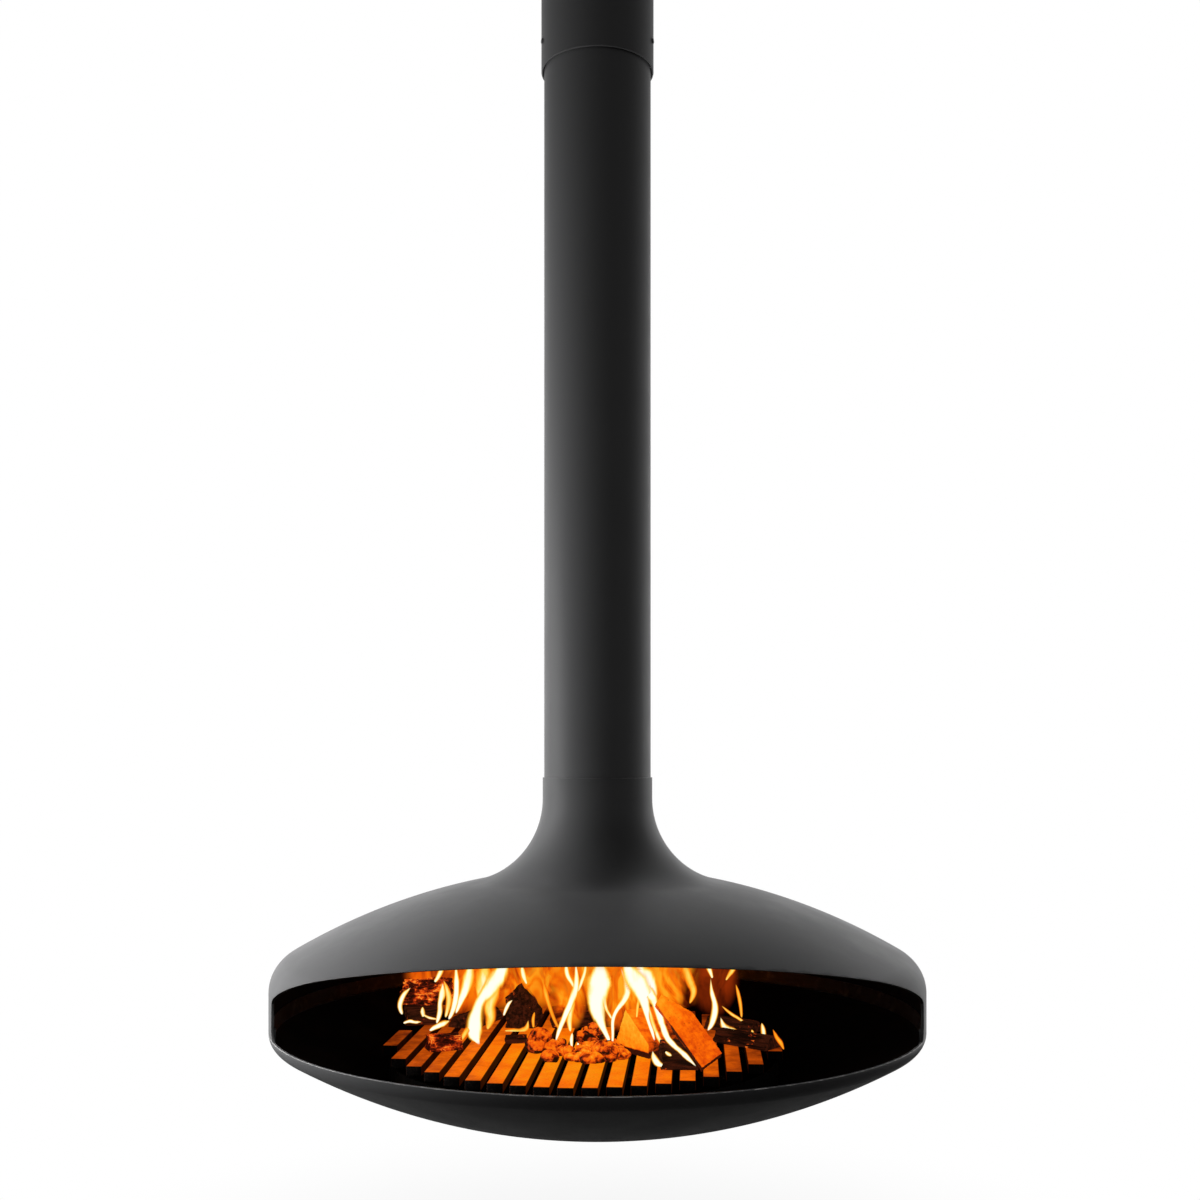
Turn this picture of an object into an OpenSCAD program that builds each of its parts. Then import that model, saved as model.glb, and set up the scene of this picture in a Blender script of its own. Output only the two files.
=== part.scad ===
// Hanging fireplace: a flattened round steel body with a cut-out mouth, carried by its own flue,
// which turns on a ball bearing under the ceiling.
// Millimetres, +Z up. The origin is the middle of the ceiling plate's top face, and the mouth
// faces -Y.

/* [Body] */
// Height from the ceiling down to the rim of the bowl
rim_drop = 2164; // [1900:1:2600]
// Largest diameter of the body
body_d = 1251; // [1180:1:1320]

/* [Hood] */
// Sheet thickness of the hood
hood_wall = 5; // [3:0.5:6]
// Height of the crown's sphere above the rim, where it would cross the axis
crown_rise = 292.2; // [275:0.1:310]
// Radius of the spherical crown
crown_r = 1180; // [1050:1:1350]
// Radius of the rounded shoulder between the crown and the upright band
shoulder_r = 70; // [45:1:80]
// Radius of the hollow flare between the neck and the crown
flare_r = 165; // [140:1:185]
// Height of the neck's top edge above the rim
neck_rise = 470; // [460:1:500]
// Wall of the neck where the flue stands in it
socket_wall = 2.8; // [2:0.1:4]
// Depth of the socket that takes the flue
socket_depth = 36; // [28:1:44]

/* [Mouth] */
// Distance from the axis forward to the mouth's upright ends
mouth_end_y = 217; // [180:1:260]
// Height of the mouth above the rim at its ends
mouth_end_h = 70; // [60:1:80]
// Distance from the axis forward to the middle of the mouth's top edge
mouth_front_y = 508; // [490:1:520]
// Height of the mouth above the rim at the front
mouth_front_h = 178.5; // [165:0.5:182]
// How far the mouth's top edge bows up between its front and its ends
mouth_bow = 6; // [3:0.5:12]
// Radius of the mouth's upper corners
mouth_top_r = 28; // [15:1:40]
// Radius of the mouth's lower corners
mouth_foot_r = 20; // [10:1:26]

/* [Bowl] */
// Sheet thickness of the bowl
bowl_wall = 5; // [3:0.5:6]
// Radius of the dished bottom
dish_r = 1175; // [1050:1:1400]
// Radius of the knuckle under the rim
knuckle_r = 31; // [24:1:45]
// Thickness of the strip that backs the seam between the hood and the bowl
seam_t = 4; // [3:0.5:6]
// Height of the seam strip above the rim
seam_up = 20; // [12:1:30]
// Depth of the seam strip below the rim
seam_down = 14; // [8:1:18]

/* [Flue] */
// Outer diameter of the flue tube
flue_d = 208; // [196:1:220]
// Wall of the flue tube
flue_wall = 2.5; // [2:0.5:4]
// Width of the bolted rings at the foot of the flue, inward from its wall
foot_ring_w = 21.5; // [20:0.5:26]
// Thickness of each ring at the foot of the flue
foot_ring_t = 8; // [6:0.5:10]
// Thickness of the gasket under the flue
gasket_t = 2; // [1.5:0.5:4]
// Number of bolts at the foot of the flue
foot_bolt_count = 8; // [6:1:10]

/* [Cover sleeve] */
// Distance from the ceiling down to the sleeve's lower edge
sleeve_drop = 320; // [280:1:420]
// Wall of the sleeve
sleeve_wall = 3; // [2:0.5:4]
// Space between the flue and the sleeve
sleeve_gap = 2.5; // [2:0.1:4]
// Height of the sleeve's screws above its lower edge
sleeve_screw_rise = 50; // [30:1:80]
// Directions of the sleeve's screws, from the front
sleeve_screw_angles = [-75, 75, 180];

/* [Ceiling fixing] */
// Thickness of the ceiling plate
plate_t = 8; // [6:0.5:12]
// Width of the plate outside the bearing housing
plate_overhang = 34; // [33:1:40]
// Number of ceiling bolt holes
ceiling_holes = 6; // [4:1:8]
// Diameter of the ceiling bolt holes
ceiling_hole_d = 11; // [9:0.5:13]
// Distance of the ceiling bolt holes from the plate's edge
ceiling_hole_inset = 16; // [15:0.5:18]
// Number of bolts that hold the bearing housing
housing_bolt_count = 6; // [4:1:8]
// Length of the chimney spigot above the plate
spigot_up = 90; // [60:1:140]
// Length of the spigot below the ceiling
spigot_down = 150; // [120:1:190]
// Wall of the spigot
spigot_wall = 2; // [1.5:0.5:3]
// How much smaller in radius the chimney end of the spigot is
spigot_step = 1; // [0.5:0.5:2]
// Depth of the ceiling rose
rose_depth = 68; // [67:1:80]
// Corner radius of the ceiling rose
rose_corner_r = 20; // [10:1:24]
// Sheet thickness of the ceiling rose
rose_wall = 1.5; // [1:0.5:2]

/* [Swivel bearing] */
// Diameter of the bearing balls
ball_d = 10; // [8:1:12]
// Number of bearing balls
ball_count = 30; // [20:1:36]
// Distance of the ball circle outward from the flue's wall
ball_offset = 18.5; // [18:0.5:22]
// Width of each race
race_w = 17; // [15:0.5:17]
// Thickness of each race
race_t = 6; // [5:0.5:8]
// Space between the two races
race_gap = 4; // [3:0.5:5]
// Wall of the bearing housing
housing_wall = 5; // [4:0.5:7]
// Thickness of the housing's flange and lip
housing_lip_t = 6; // [5:0.5:8]
// Depth of the bearing housing below the plate
housing_depth = 56; // [54:0.5:58]
// Thickness of the suspension ring on the flue
suspension_t = 8; // [6:0.5:10]

/* [Damper] */
// Depth of the damper collar below its flange
collar_depth = 84; // [70:1:100]
// Wall of the damper collar
collar_wall = 4; // [3:0.5:5]
// Thickness of the collar's flange
collar_flange_t = 6; // [5:0.5:8]
// Distance of the damper's axle below the collar's flange
damper_drop = 44; // [36:1:50]
// Diameter of the damper's axle
axle_d = 10; // [8:0.5:12]
// Thickness of the damper blade
blade_t = 3; // [2:0.5:4]
// Length of the damper lever from the axle to its ring
lever_len = 150; // [110:1:160]
// Lean of the lever to the back while the damper is open
lever_lean = 45; // [35:1:50]

/* [Grate] */
// Diameter of the circle that the grate fills
grate_d = 780; // [760:1:800]
// Depth of the grate's top below the rim
grate_sink = 46; // [40:1:60]
// Width of a grate bar
bar_w = 28; // [20:1:32]
// Height of a grate bar
bar_h = 18; // [12:1:24]
// Distance of the outer grate bars from that circle, at the middle of their length
bar_margin = 7; // [4:0.5:20]
// Number of grate bars
bar_count = 19; // [17:1:20]
// How far the grate is turned round its middle
grate_turn = -4; // [-10:1:10]
// How far the grate, with the ring that it stands on, sits to the left of the bowl's middle
grate_left = 27; // [0:1:40]
// How far it sits behind the bowl's middle
grate_back = 12; // [0:1:20]
// Width of a cross bar under the grate
cross_w = 30; // [20:1:36]
// Height of a cross bar
cross_h = 8; // [6:1:12]
// Distance of the outer cross bars from the middle one
cross_offset = 220; // [180:1:250]
// How far the grate reaches past the ring that it stands on
grate_overhang = 12; // [8:1:28]
// Wall of that ring
stand_wall = 5; // [4:0.5:8]
// Number of air holes in the ring
stand_holes = 12; // [8:1:16]

/* [Ash pan] */
// Distance of the ash pan's side grips from the ring around them
pan_side_clear = 15.5; // [12:0.5:40]
// Sheet thickness of the ash pan
pan_wall = 2; // [1.5:0.5:3]
// Distance from the cross bars down to the ash pan's edge
pan_clear = 26; // [20:1:34]
// Radius of the ash pan's side grips
grip_r = 24; // [20:1:26]

/* [Fire] */
// Radius of the half log at the back
back_log_r = 42; // [36:1:46]
// Radius of the quarter log in the middle
centre_log_r = 90; // [80:1:96]
// Width that is left of that log
centre_log_w = 63; // [55:1:66]
// Radius of the half log at the left
left_log_r = 42; // [36:1:46]
// Radius of the log that lies on it
top_log_r = 60; // [50:1:62]
// Radius of the half log beside them
side_log_r = 32; // [26:1:34]
// Radius of the two half logs at the right
right_log_r = 28; // [22:1:32]
// Radius of the log that the split board leans on
prop_log_r = 48; // [40:1:50]
// Lean of the split board from the grate
board_lean = 55; // [45:1:65]
// How far the split board leans to its left
board_roll = 34; // [20:1:45]

/* [Clearances] */
// Gap of pieces that turn or slide past each other
run_gap = 0.3; // [0.2:0.05:0.5]
// Gap round bolts, screws and pieces that are set into each other
set_gap = 0.15; // [0.1:0.05:0.2]
// Radial gap of the damper's axle in its bushes
bush_gap = 0.06; // [0.04:0.01:0.09]

/* [Hidden] */
$fn = 96;

// Cuts run this far past what they cut
past = 1;

// Body outline, as radii from the axis and heights
rim_z = -rim_drop;
body_r = body_d / 2;
flue_r = flue_d / 2;
flue_in_r = flue_r - flue_wall;
neck_r = flue_r + set_gap + socket_wall;
crown_z = rim_z + crown_rise - crown_r;
shoulder_x = body_r - shoulder_r;
shoulder_z = crown_z + sqrt(pow(crown_r - shoulder_r, 2) - pow(shoulder_x, 2));
flare_x = neck_r + flare_r;
flare_z = crown_z + sqrt(pow(crown_r + flare_r, 2) - pow(flare_x, 2));
// Directions from the crown's centre to where the crown meets the flare and the shoulder
flare_angle = atan2(flare_z - crown_z, flare_x);
shoulder_angle = atan2(shoulder_z - crown_z, shoulder_x);
neck_z = rim_z + neck_rise;
knuckle_x = body_r - knuckle_r;
dish_z = rim_z + sqrt(pow(dish_r - knuckle_r, 2) - pow(knuckle_x, 2));
dish_in_r = dish_r - bowl_wall;
dish_angle = atan2(rim_z - dish_z, knuckle_x);

// Foot of the flue, from the socket down
foot_z = neck_z - socket_depth;
foot_ring_r = flue_in_r - foot_ring_w;
foot_bolt_circle = foot_ring_r + foot_ring_w / 2;
neck_in_r = neck_r - hood_wall;
neck_ring_z = foot_z - gasket_t - foot_ring_t;
collar_z = neck_ring_z - collar_flange_t;
collar_in_r = foot_ring_r;
collar_r = collar_in_r + collar_wall;

// Metric bolts: shank radius, then head radius over corners and head height
M8 = [4, 7.5, 5.3];
M5 = [2.5, 4.7, 2.7];
M4 = [2, 4, 2];
nut_h = 6.5;

// Ceiling fixing and bearing, from the ceiling down
ball_r = ball_d / 2;
ball_circle = flue_r + ball_offset;
race_in_r = ball_circle - race_w / 2;
race_out_r = ball_circle + race_w / 2;
housing_in_r = race_out_r + 2;
housing_r = housing_in_r + housing_wall;
plate_r = housing_r + plate_overhang;
ceiling_pcd = 2 * (plate_r - ceiling_hole_inset);
housing_flange_r = plate_r - 6;
housing_bolt_circle = (housing_r + housing_flange_r) / 2;
bolt_clear_r = 14;
housing_z = -plate_t - housing_depth;
lip_z = housing_z + housing_lip_t;
lip_r = race_in_r - 1;
ball_z = lip_z + race_t + race_gap / 2;
upper_race_z = ball_z + race_gap / 2;
suspension_z = upper_race_z + race_t;
flue_top = suspension_z + suspension_t + 8;
cage_t = race_gap - 2 * 0.8;
sleeve_in_r = flue_r + sleeve_gap;
sleeve_r = sleeve_in_r + sleeve_wall;
sleeve_top = -rose_depth + 2;
rose_hole_r = sleeve_r + 2.5;
rose_in_r = plate_r + set_gap;
rose_r = rose_in_r + rose_wall;
rose_top = -0.5;
rose_screw_count = 3;
rose_screw_depth = 8;
spigot_r = flue_in_r - 4.5;
spigot_collar_t = 4;
spigot_collar_r = spigot_r + 12;
seal_top = -70;
seal_h = 30;
bead = 2;

// Damper
damper_z = collar_z - damper_drop;
axle_r = axle_d / 2;
axle_flat = axle_r - 1;
blade_r = collar_in_r - 1.5;
bush_r = axle_r + 3;
bush_flange_r = bush_r + 3;
bush_flange_t = 3;
bush_end = collar_r + 8;
hub_r = axle_r + 5;
hub_w = 10;
axle_collar_w = 5;
axle_proud = 2;
small_grub_r = 1.5;
blade_notch_r = 4;
lever_t = 5;
lever_w = 12;
lever_ring_r = 15;
lever_wire_r = 4;
blade_screw_x = [-45, 0, 45];

// Grate, its stand and the ash pan
grate_z = rim_z - grate_sink;
cross_z = grate_z - bar_h - cross_h;
grate_r = grate_d / 2;
grate_at = [-grate_left, grate_back];
bar_pitch = (grate_d - 2 * bar_margin - bar_w) / (bar_count - 1);
stand_r = grate_r - grate_overhang;
stand_hole_r = 9;
grip_wire_r = 4;
pan_r = stand_r - stand_wall - norm(grate_at) - pan_side_clear - grip_r - grip_wire_r;
pan_top = cross_z - pan_clear;
pan_out_r = dish_in_r - run_gap;
grip_z = pan_top - 14;

// Firewood: where the middle of each log lies, seen from the grate's middle, and its length. The
// pieces near the grate's edge keep their distance from it, and so do those that lie beside them
left_log_at = [55 - grate_r, 153];
left_log_len = 78;
top_log_at = [65 - grate_r, 160];
top_log_len = 105;
side_log_at = [164 - grate_r, 172];
side_log_len = 130;
centre_log_at = [265 - grate_r, 182];
centre_log_len = 140;
back_log_at = [centre_log_at[0] + 169, 166];
back_log_len = 230;
wedge_at = [133, -93.5];
wedge_len = 110;
wedge_section = [[56, 0], [-56, 0], [-56, 27], [18, 82]];
prop_log_len = 70;
prop_log_left = 37.5;
right_log_at = [grate_r - 76, -44];
right_log_len = 130;
far_log_at = [grate_r - 87, 100];
far_log_len = 110;
block_at = [125 - grate_r, -84];
block_size = [68, 44, 30];
stub_at = [-131, -20];
stub_r = 18;
stub_len = 46;
// Where the lowest corner of the split board's back stands on the grate, and the board's outline
board_foot = [210, -276];
board_outline = [[0, 0], [48, 2], [52, 96], [25, 158], [3, 148]];
board_t = 18;
// Ember lumps: size, number in each row from the back, and their spacing
ember_size = 22;
ember_spread = 6;
ember_rows = [4, 4, 5, 5];
ember_at = [-95, -62];
ember_step = 44;
ember_row = 48;
ember_offset = 16;

// Half width of a circle of radius r at a distance x from its middle
function chord(r, x) = sqrt(pow(r, 2) - pow(x, 2));

// Points of an arc about c. An arc that carries on from another one skips its first point
function arc(c, r, from, to, steps, skip = 0) = [
    for (i = [skip : steps])
        let (angle = from + (to - from) * i / steps)
        c + r * [cos(angle), sin(angle)]
];

function reverse(points) = [for (i = [len(points) - 1 : -1 : 0]) points[i]];

// A ring about the Z axis
module ring(r_out, r_in, z_low, z_high) {
    translate([0, 0, z_low]) difference() {
        cylinder(r = r_out, h = z_high - z_low);
        translate([0, 0, -past]) cylinder(r = r_in, h = z_high - z_low + 2 * past);
    }
}

// Copies on a circle about the Z axis, the first at the angle start
module around(count, r, start = 0) {
    for (i = [0 : count - 1])
        rotate([0, 0, start + i * 360 / count])
            translate([r, 0, 0])
                children();
}

// A hexagon bolt whose head's seat is at z = 0 and whose shank goes up
module hex_bolt(size, shank) {
    translate([0, 0, -size[2]]) cylinder(r = size[1], h = size[2], $fn = 6);
    cylinder(r = size[0], h = shank);
}

// A button-head screw along +X, its head's seat at x = 0 and its shank towards -X
module button_screw(size, shank) {
    rotate([0, 90, 0]) {
        cylinder(r = size[1], h = size[2]);
        translate([0, 0, -shank]) cylinder(r = size[0], h = shank);
    }
}

// ---- Ceiling fixing ----

module housing_bolt_places() {
    around(housing_bolt_count, housing_bolt_circle, 180 / housing_bolt_count) children();
}

module rose_screw_places(r) {
    translate([0, 0, -plate_t / 2])
        around(rose_screw_count, r, 90)
            children();
}

module ceiling_plate() {
    color("dimgray") difference() {
        translate([0, 0, -plate_t]) cylinder(r = plate_r, h = plate_t);
        translate([0, 0, -plate_t - past]) {
            cylinder(r = spigot_r + set_gap, h = plate_t + 2 * past);
            around(ceiling_holes, ceiling_pcd / 2) cylinder(d = ceiling_hole_d, h = plate_t + 2 * past);
            housing_bolt_places() cylinder(r = M8[0] + set_gap, h = plate_t + 2 * past);
        }
        rose_screw_places(plate_r + past)
            rotate([0, -90, 0])
                cylinder(r = M5[0] + set_gap, h = rose_screw_depth + 2 * past);
    }
}

// The chimney's pipe slips over the smaller upper end, and the flue turns round the lower end
module flue_spigot() {
    color("gray") difference() {
        union() {
            translate([0, 0, -spigot_down]) cylinder(r = spigot_r, h = spigot_down);
            cylinder(r = spigot_r - spigot_step, h = spigot_up);
            translate([0, 0, -plate_t - spigot_collar_t]) cylinder(r = spigot_collar_r, h = spigot_collar_t);
            translate([0, 0, seal_top - seal_h - bead]) cylinder(r = spigot_r + bead, h = bead);
        }
        translate([0, 0, -spigot_down - past])
            cylinder(r = spigot_r - spigot_step - spigot_wall, h = spigot_down + spigot_up + 2 * past);
    }
}

module flue_seal() {
    color("ivory") ring(flue_in_r - run_gap, spigot_r + set_gap, seal_top - seal_h, seal_top);
}

// A cup whose lip carries the lower race. Its flange is scalloped round the ceiling bolts
module bearing_housing() {
    color("slategray") difference() {
        union() {
            translate([0, 0, -plate_t - housing_lip_t]) cylinder(r = housing_flange_r, h = housing_lip_t);
            translate([0, 0, housing_z]) cylinder(r = housing_r, h = housing_depth);
        }
        translate([0, 0, lip_z]) cylinder(r = housing_in_r, h = housing_depth);
        translate([0, 0, housing_z - past]) cylinder(r = lip_r, h = housing_depth);
        translate([0, 0, -plate_t - housing_lip_t - past]) {
            around(ceiling_holes, ceiling_pcd / 2) cylinder(r = bolt_clear_r, h = housing_lip_t + 2 * past);
            housing_bolt_places() cylinder(r = M8[0] + set_gap, h = housing_lip_t + 2 * past);
        }
    }
}

module housing_bolts() {
    color("silver")
        translate([0, 0, -plate_t - housing_lip_t])
            housing_bolt_places()
                hex_bolt(M8, housing_lip_t + plate_t - 1);
}

// A race is a flat ring with a round groove for the balls
module race(z_low) {
    difference() {
        ring(race_out_r, race_in_r, z_low, z_low + race_t);
        translate([0, 0, ball_z])
            rotate_extrude()
                translate([ball_circle, 0]) circle(r = ball_r + run_gap);
    }
}

module lower_race() {
    color("silver") race(lip_z);
}

// Pressed cover that hides the plate and the bearing
module rose_section(inset) {
    flat_z = -rose_depth + rose_corner_r;
    translate([-past, -rose_depth + inset])
        square([rose_r - rose_corner_r + past, rose_depth - inset + rose_top + past]);
    translate([-past, flat_z]) square([rose_r - inset + past, rose_top - flat_z + past]);
    translate([rose_r - rose_corner_r, flat_z]) circle(r = rose_corner_r - inset);
}

module ceiling_rose() {
    color("#2b2b2b") difference() {
        rotate_extrude() difference() {
            rose_section(0);
            rose_section(rose_wall);
            translate([-past, -rose_depth - past]) square([rose_hole_r + past, rose_depth + 3 * past]);
            translate([-past, rose_top]) square([rose_r + 2 * past, 2 * past]);
        }
        rose_screw_places(rose_in_r - past)
            rotate([0, 90, 0])
                cylinder(r = M5[0] + set_gap, h = rose_wall + 2 * past);
    }
}

module rose_screws() {
    color("silver") rose_screw_places(rose_r) button_screw(M5, rose_screw_depth);
}

// ---- Ball cage, which turns at half the flue's speed ----

module bearing_balls() {
    color("silver")
        translate([0, 0, ball_z])
            around(ball_count, ball_circle)
                sphere(r = ball_r, $fn = 48);
}

module cage_ring() {
    color("goldenrod") difference() {
        ring(race_out_r - 1, race_in_r + 1, ball_z - cage_t / 2, ball_z + cage_t / 2);
        translate([0, 0, ball_z - race_gap])
            around(ball_count, ball_circle)
                cylinder(r = ball_r + run_gap, h = 2 * race_gap, $fn = 48);
    }
}

// ---- Flue and hearth, which turn together ----

module upper_race() {
    color("silver") race(upper_race_z);
}

module suspension_ring() {
    color("slategray") ring(race_out_r, flue_r + set_gap, suspension_z, suspension_z + suspension_t);
}

module flue_tube() {
    color("#1f1f1f") ring(flue_r, flue_in_r, foot_z, flue_top);
}

module foot_bolt_places() {
    around(foot_bolt_count, foot_bolt_circle, 180 / foot_bolt_count) children();
}

// Holes for the bolts at the foot of the flue
module foot_bolt_holes(z_low, z_high) {
    translate([0, 0, z_low - past])
        foot_bolt_places()
            cylinder(r = M8[0] + set_gap, h = z_high - z_low + 2 * past);
}

module flue_foot_ring() {
    color("slategray") difference() {
        ring(flue_in_r - set_gap, foot_ring_r, foot_z, foot_z + foot_ring_t);
        foot_bolt_holes(foot_z, foot_z + foot_ring_t);
    }
}

module flange_gasket() {
    color("ivory") difference() {
        ring(flue_r, foot_ring_r, foot_z - gasket_t, foot_z);
        foot_bolt_holes(foot_z - gasket_t, foot_z);
    }
}

module neck_ring() {
    color("slategray") difference() {
        ring(neck_in_r - set_gap, foot_ring_r, neck_ring_z, neck_ring_z + foot_ring_t);
        foot_bolt_holes(neck_ring_z, neck_ring_z + foot_ring_t);
    }
}

module foot_bolts() {
    stack = collar_flange_t + 2 * foot_ring_t + gasket_t;
    color("silver")
        translate([0, 0, collar_z])
            foot_bolt_places()
                rotate([0, 0, 30]) hex_bolt(M8, stack + nut_h + 2);
}

module foot_nuts() {
    color("silver")
        translate([0, 0, foot_z + foot_ring_t])
            foot_bolt_places()
                difference() {
                    rotate([0, 0, 30]) cylinder(r = M8[1], h = nut_h, $fn = 6);
                    translate([0, 0, -past]) cylinder(r = M8[0] + set_gap, h = nut_h + 2 * past);
                }
}

// Points down one skin of the hood, set in from its outer skin, starting at a height in the neck.
// Both skins' arcs share their centres, so the wall is even
function hood_skin(inset, start_z) = concat(
    [[neck_r - inset, start_z]],
    arc([flare_x, flare_z], flare_r + inset, 180, 180 + flare_angle, 12),
    arc([0, crown_z], crown_r - inset, flare_angle, shoulder_angle, 14, 1),
    arc([shoulder_x, shoulder_z], shoulder_r - inset, shoulder_angle, 0, 8, 1),
    [[body_r - inset, rim_z]]
);

// Side view of the mouth, forward distance and height, drawn as it is cut through the front
function mouth_outline() =
    let (
        front = [-mouth_front_y, rim_z + mouth_front_h],
        end = [-mouth_end_y, rim_z + mouth_end_h],
        span = norm(end - front),
        bow_r = (pow(span / 2, 2) + pow(mouth_bow, 2)) / (2 * mouth_bow),
        across = (end - front) / span,
        up = [-across[1], across[0]],
        middle = (front + end) / 2 - up * (bow_r - mouth_bow),
        corner_y = -mouth_end_y - mouth_top_r,
        corner = [corner_y, middle[1] + chord(bow_r - mouth_top_r, corner_y - middle[0])],
        corner_angle = atan2(corner[1] - middle[1], corner[0] - middle[0]),
        front_angle = acos((-body_r - 40 - middle[0]) / bow_r),
        foot = [-mouth_end_y - mouth_foot_r, rim_z + mouth_foot_r - 0.6]
    )
    concat(
        [[-body_r - 40, rim_z - past]],
        arc(middle, bow_r, front_angle, corner_angle, 12),
        arc(corner, mouth_top_r, corner_angle, 0, 8),
        arc(foot, mouth_foot_r, 0, -76, 6),
        [[foot[0] - mouth_foot_r, rim_z - past]]
    );

module mouth_cut() {
    rotate([90, 0, 90])
        linear_extrude(height = 2 * body_d, center = true)
            polygon(mouth_outline());
}

// One spun shell from the neck to the rim, with the mouth cut out of its front. The neck is bored
// out at the top as a socket for the flue
module hood() {
    socket_r = flue_r + set_gap;
    socket_z = foot_z - gasket_t;
    color("#262626") difference() {
        rotate_extrude($fn = 180)
            polygon(concat(
                [[socket_r, socket_z], [socket_r, neck_z]],
                hood_skin(0, neck_z),
                reverse(hood_skin(hood_wall, socket_z))
            ));
        mouth_cut();
    }
}

// Points of one skin of the bowl, from the rim down to the axis
function bowl_skin(inset) = concat(
    arc([knuckle_x, rim_z], knuckle_r - inset, 0, dish_angle, 8),
    arc([0, dish_z], dish_r - inset, dish_angle, -90, 20, 1)
);

module bowl() {
    color("#262626")
        rotate_extrude($fn = 180)
            polygon(concat(bowl_skin(0), reverse(bowl_skin(bowl_wall))));
}

// Points of one skin of the seam strip, upright above the rim and bent with the knuckle below it
function seam_skin(inset) = concat(
    [[body_r - inset, rim_z + seam_up]],
    arc([knuckle_x, rim_z], knuckle_r - inset, 0, -asin(seam_down / knuckle_r), 4)
);

// Strip behind the seam of the hood and the bowl, from one end of the mouth round the back
module seam_strip() {
    inset = max(hood_wall, bowl_wall) + set_gap;
    color("dimgray") difference() {
        rotate_extrude($fn = 180)
            polygon(concat(seam_skin(inset), reverse(seam_skin(inset + seam_t))));
        translate([-body_r, -body_r - mouth_end_y + 8, rim_z - body_r])
            cube([2 * body_r, body_r, 2 * body_r]);
    }
}

// Upright ring that carries the grate, scribed to the bowl, with air holes
module grate_stand() {
    hole_z = (cross_z + dish_z - chord(dish_in_r, stand_r)) / 2;
    color("#303030") difference() {
        intersection() {
            translate(grate_at) ring(stand_r, stand_r - stand_wall, dish_z - dish_in_r, cross_z - run_gap);
            translate([0, 0, dish_z]) sphere(r = dish_in_r - set_gap, $fn = 180);
        }
        translate([grate_at[0], grate_at[1], hole_z])
            around(stand_holes, stand_r - 2 * stand_wall, 15)
                rotate([0, 90, 0]) cylinder(r = stand_hole_r, h = 3 * stand_wall);
    }
}

// Short tube under the neck ring, in which the damper turns
module damper_collar() {
    color("#3a3a3a") difference() {
        union() {
            translate([0, 0, collar_z]) cylinder(r = flue_in_r - set_gap, h = collar_flange_t);
            translate([0, 0, collar_z - collar_depth]) cylinder(r = collar_r, h = collar_depth);
        }
        translate([0, 0, collar_z - collar_depth - past])
            cylinder(r = collar_in_r, h = collar_depth + collar_flange_t + 2 * past);
        foot_bolt_holes(collar_z, neck_ring_z);
        translate([-collar_r - past, 0, damper_z])
            rotate([0, 90, 0])
                cylinder(r = bush_r + set_gap, h = 2 * (collar_r + past));
    }
}

module damper_bushes() {
    bush_start = collar_in_r + run_gap;
    bush_len = bush_end - bush_start;
    color("goldenrod")
        translate([0, 0, damper_z])
            for (side = [0, 180])
                rotate([0, 0, side]) rotate([0, 90, 0]) difference() {
                    union() {
                        translate([0, 0, bush_start]) cylinder(r = bush_r, h = bush_len);
                        translate([0, 0, collar_r + run_gap]) cylinder(r = bush_flange_r, h = bush_flange_t);
                    }
                    translate([0, 0, bush_start - past])
                        cylinder(r = axle_r + bush_gap, h = bush_len + 2 * past);
                }
}

// ---- Cover sleeve, which slides down the flue to reach the ceiling fixing ----

module sleeve_screw_places(r) {
    for (angle = sleeve_screw_angles)
        rotate([0, 0, angle - 90])
            translate([r, 0, -sleeve_drop + sleeve_screw_rise])
                children();
}

module cover_sleeve() {
    chamfer = 1;
    color("#1f1f1f") difference() {
        rotate_extrude()
            polygon([
                [sleeve_in_r, sleeve_top],
                [sleeve_in_r, -sleeve_drop],
                [sleeve_r - chamfer, -sleeve_drop],
                [sleeve_r, -sleeve_drop + chamfer],
                [sleeve_r, sleeve_top]
            ]);
        sleeve_screw_places(sleeve_in_r - past)
            rotate([0, 90, 0])
                cylinder(r = M5[0] + set_gap, h = sleeve_wall + 2 * past);
    }
}

module sleeve_screws() {
    color("#111111") sleeve_screw_places(sleeve_r) button_screw(M5, sleeve_wall + sleeve_gap - run_gap);
}

// ---- Damper, open at rest ----

// Along +X at the damper's height
module damper_place() {
    translate([0, 0, damper_z]) children();
}

// Holes for the blade's screws, along +Y from y_low
module blade_screw_holes(y_low, depth) {
    for (x = blade_screw_x)
        translate([x, y_low, 0])
            rotate([-90, 0, 0])
                cylinder(r = M4[0] + set_gap, h = depth);
}

module damper_axle() {
    flat_half = blade_r - 4;
    low_end = bush_end + run_gap + axle_collar_w + axle_proud;
    high_end = bush_end + run_gap + hub_w + axle_proud;
    color("silver") damper_place() difference() {
        translate([-low_end, 0, 0]) rotate([0, 90, 0]) cylinder(r = axle_r, h = low_end + high_end);
        translate([-flat_half, axle_flat, -axle_r]) cube([2 * flat_half, axle_r, 2 * axle_r]);
        blade_screw_holes(-axle_r + 1, 2 * axle_r);
    }
}

module damper_blade() {
    color("dimgray") damper_place() difference() {
        translate([0, axle_flat, 0]) rotate([-90, 0, 0]) cylinder(r = blade_r, h = blade_t);
        for (side = [-1, 1])
            translate([side * blade_r, axle_flat - past, 0])
                rotate([-90, 0, 0])
                    cylinder(r = blade_notch_r, h = blade_t + 2 * past);
        blade_screw_holes(axle_flat - past, blade_t + 2 * past);
    }
}

module blade_screws() {
    reach = blade_t + axle_flat + axle_r - 2;
    color("silver") damper_place()
        for (x = blade_screw_x)
            translate([x, axle_flat + blade_t, 0])
                rotate([0, 0, 90])
                    button_screw(M4, reach);
}

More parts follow.
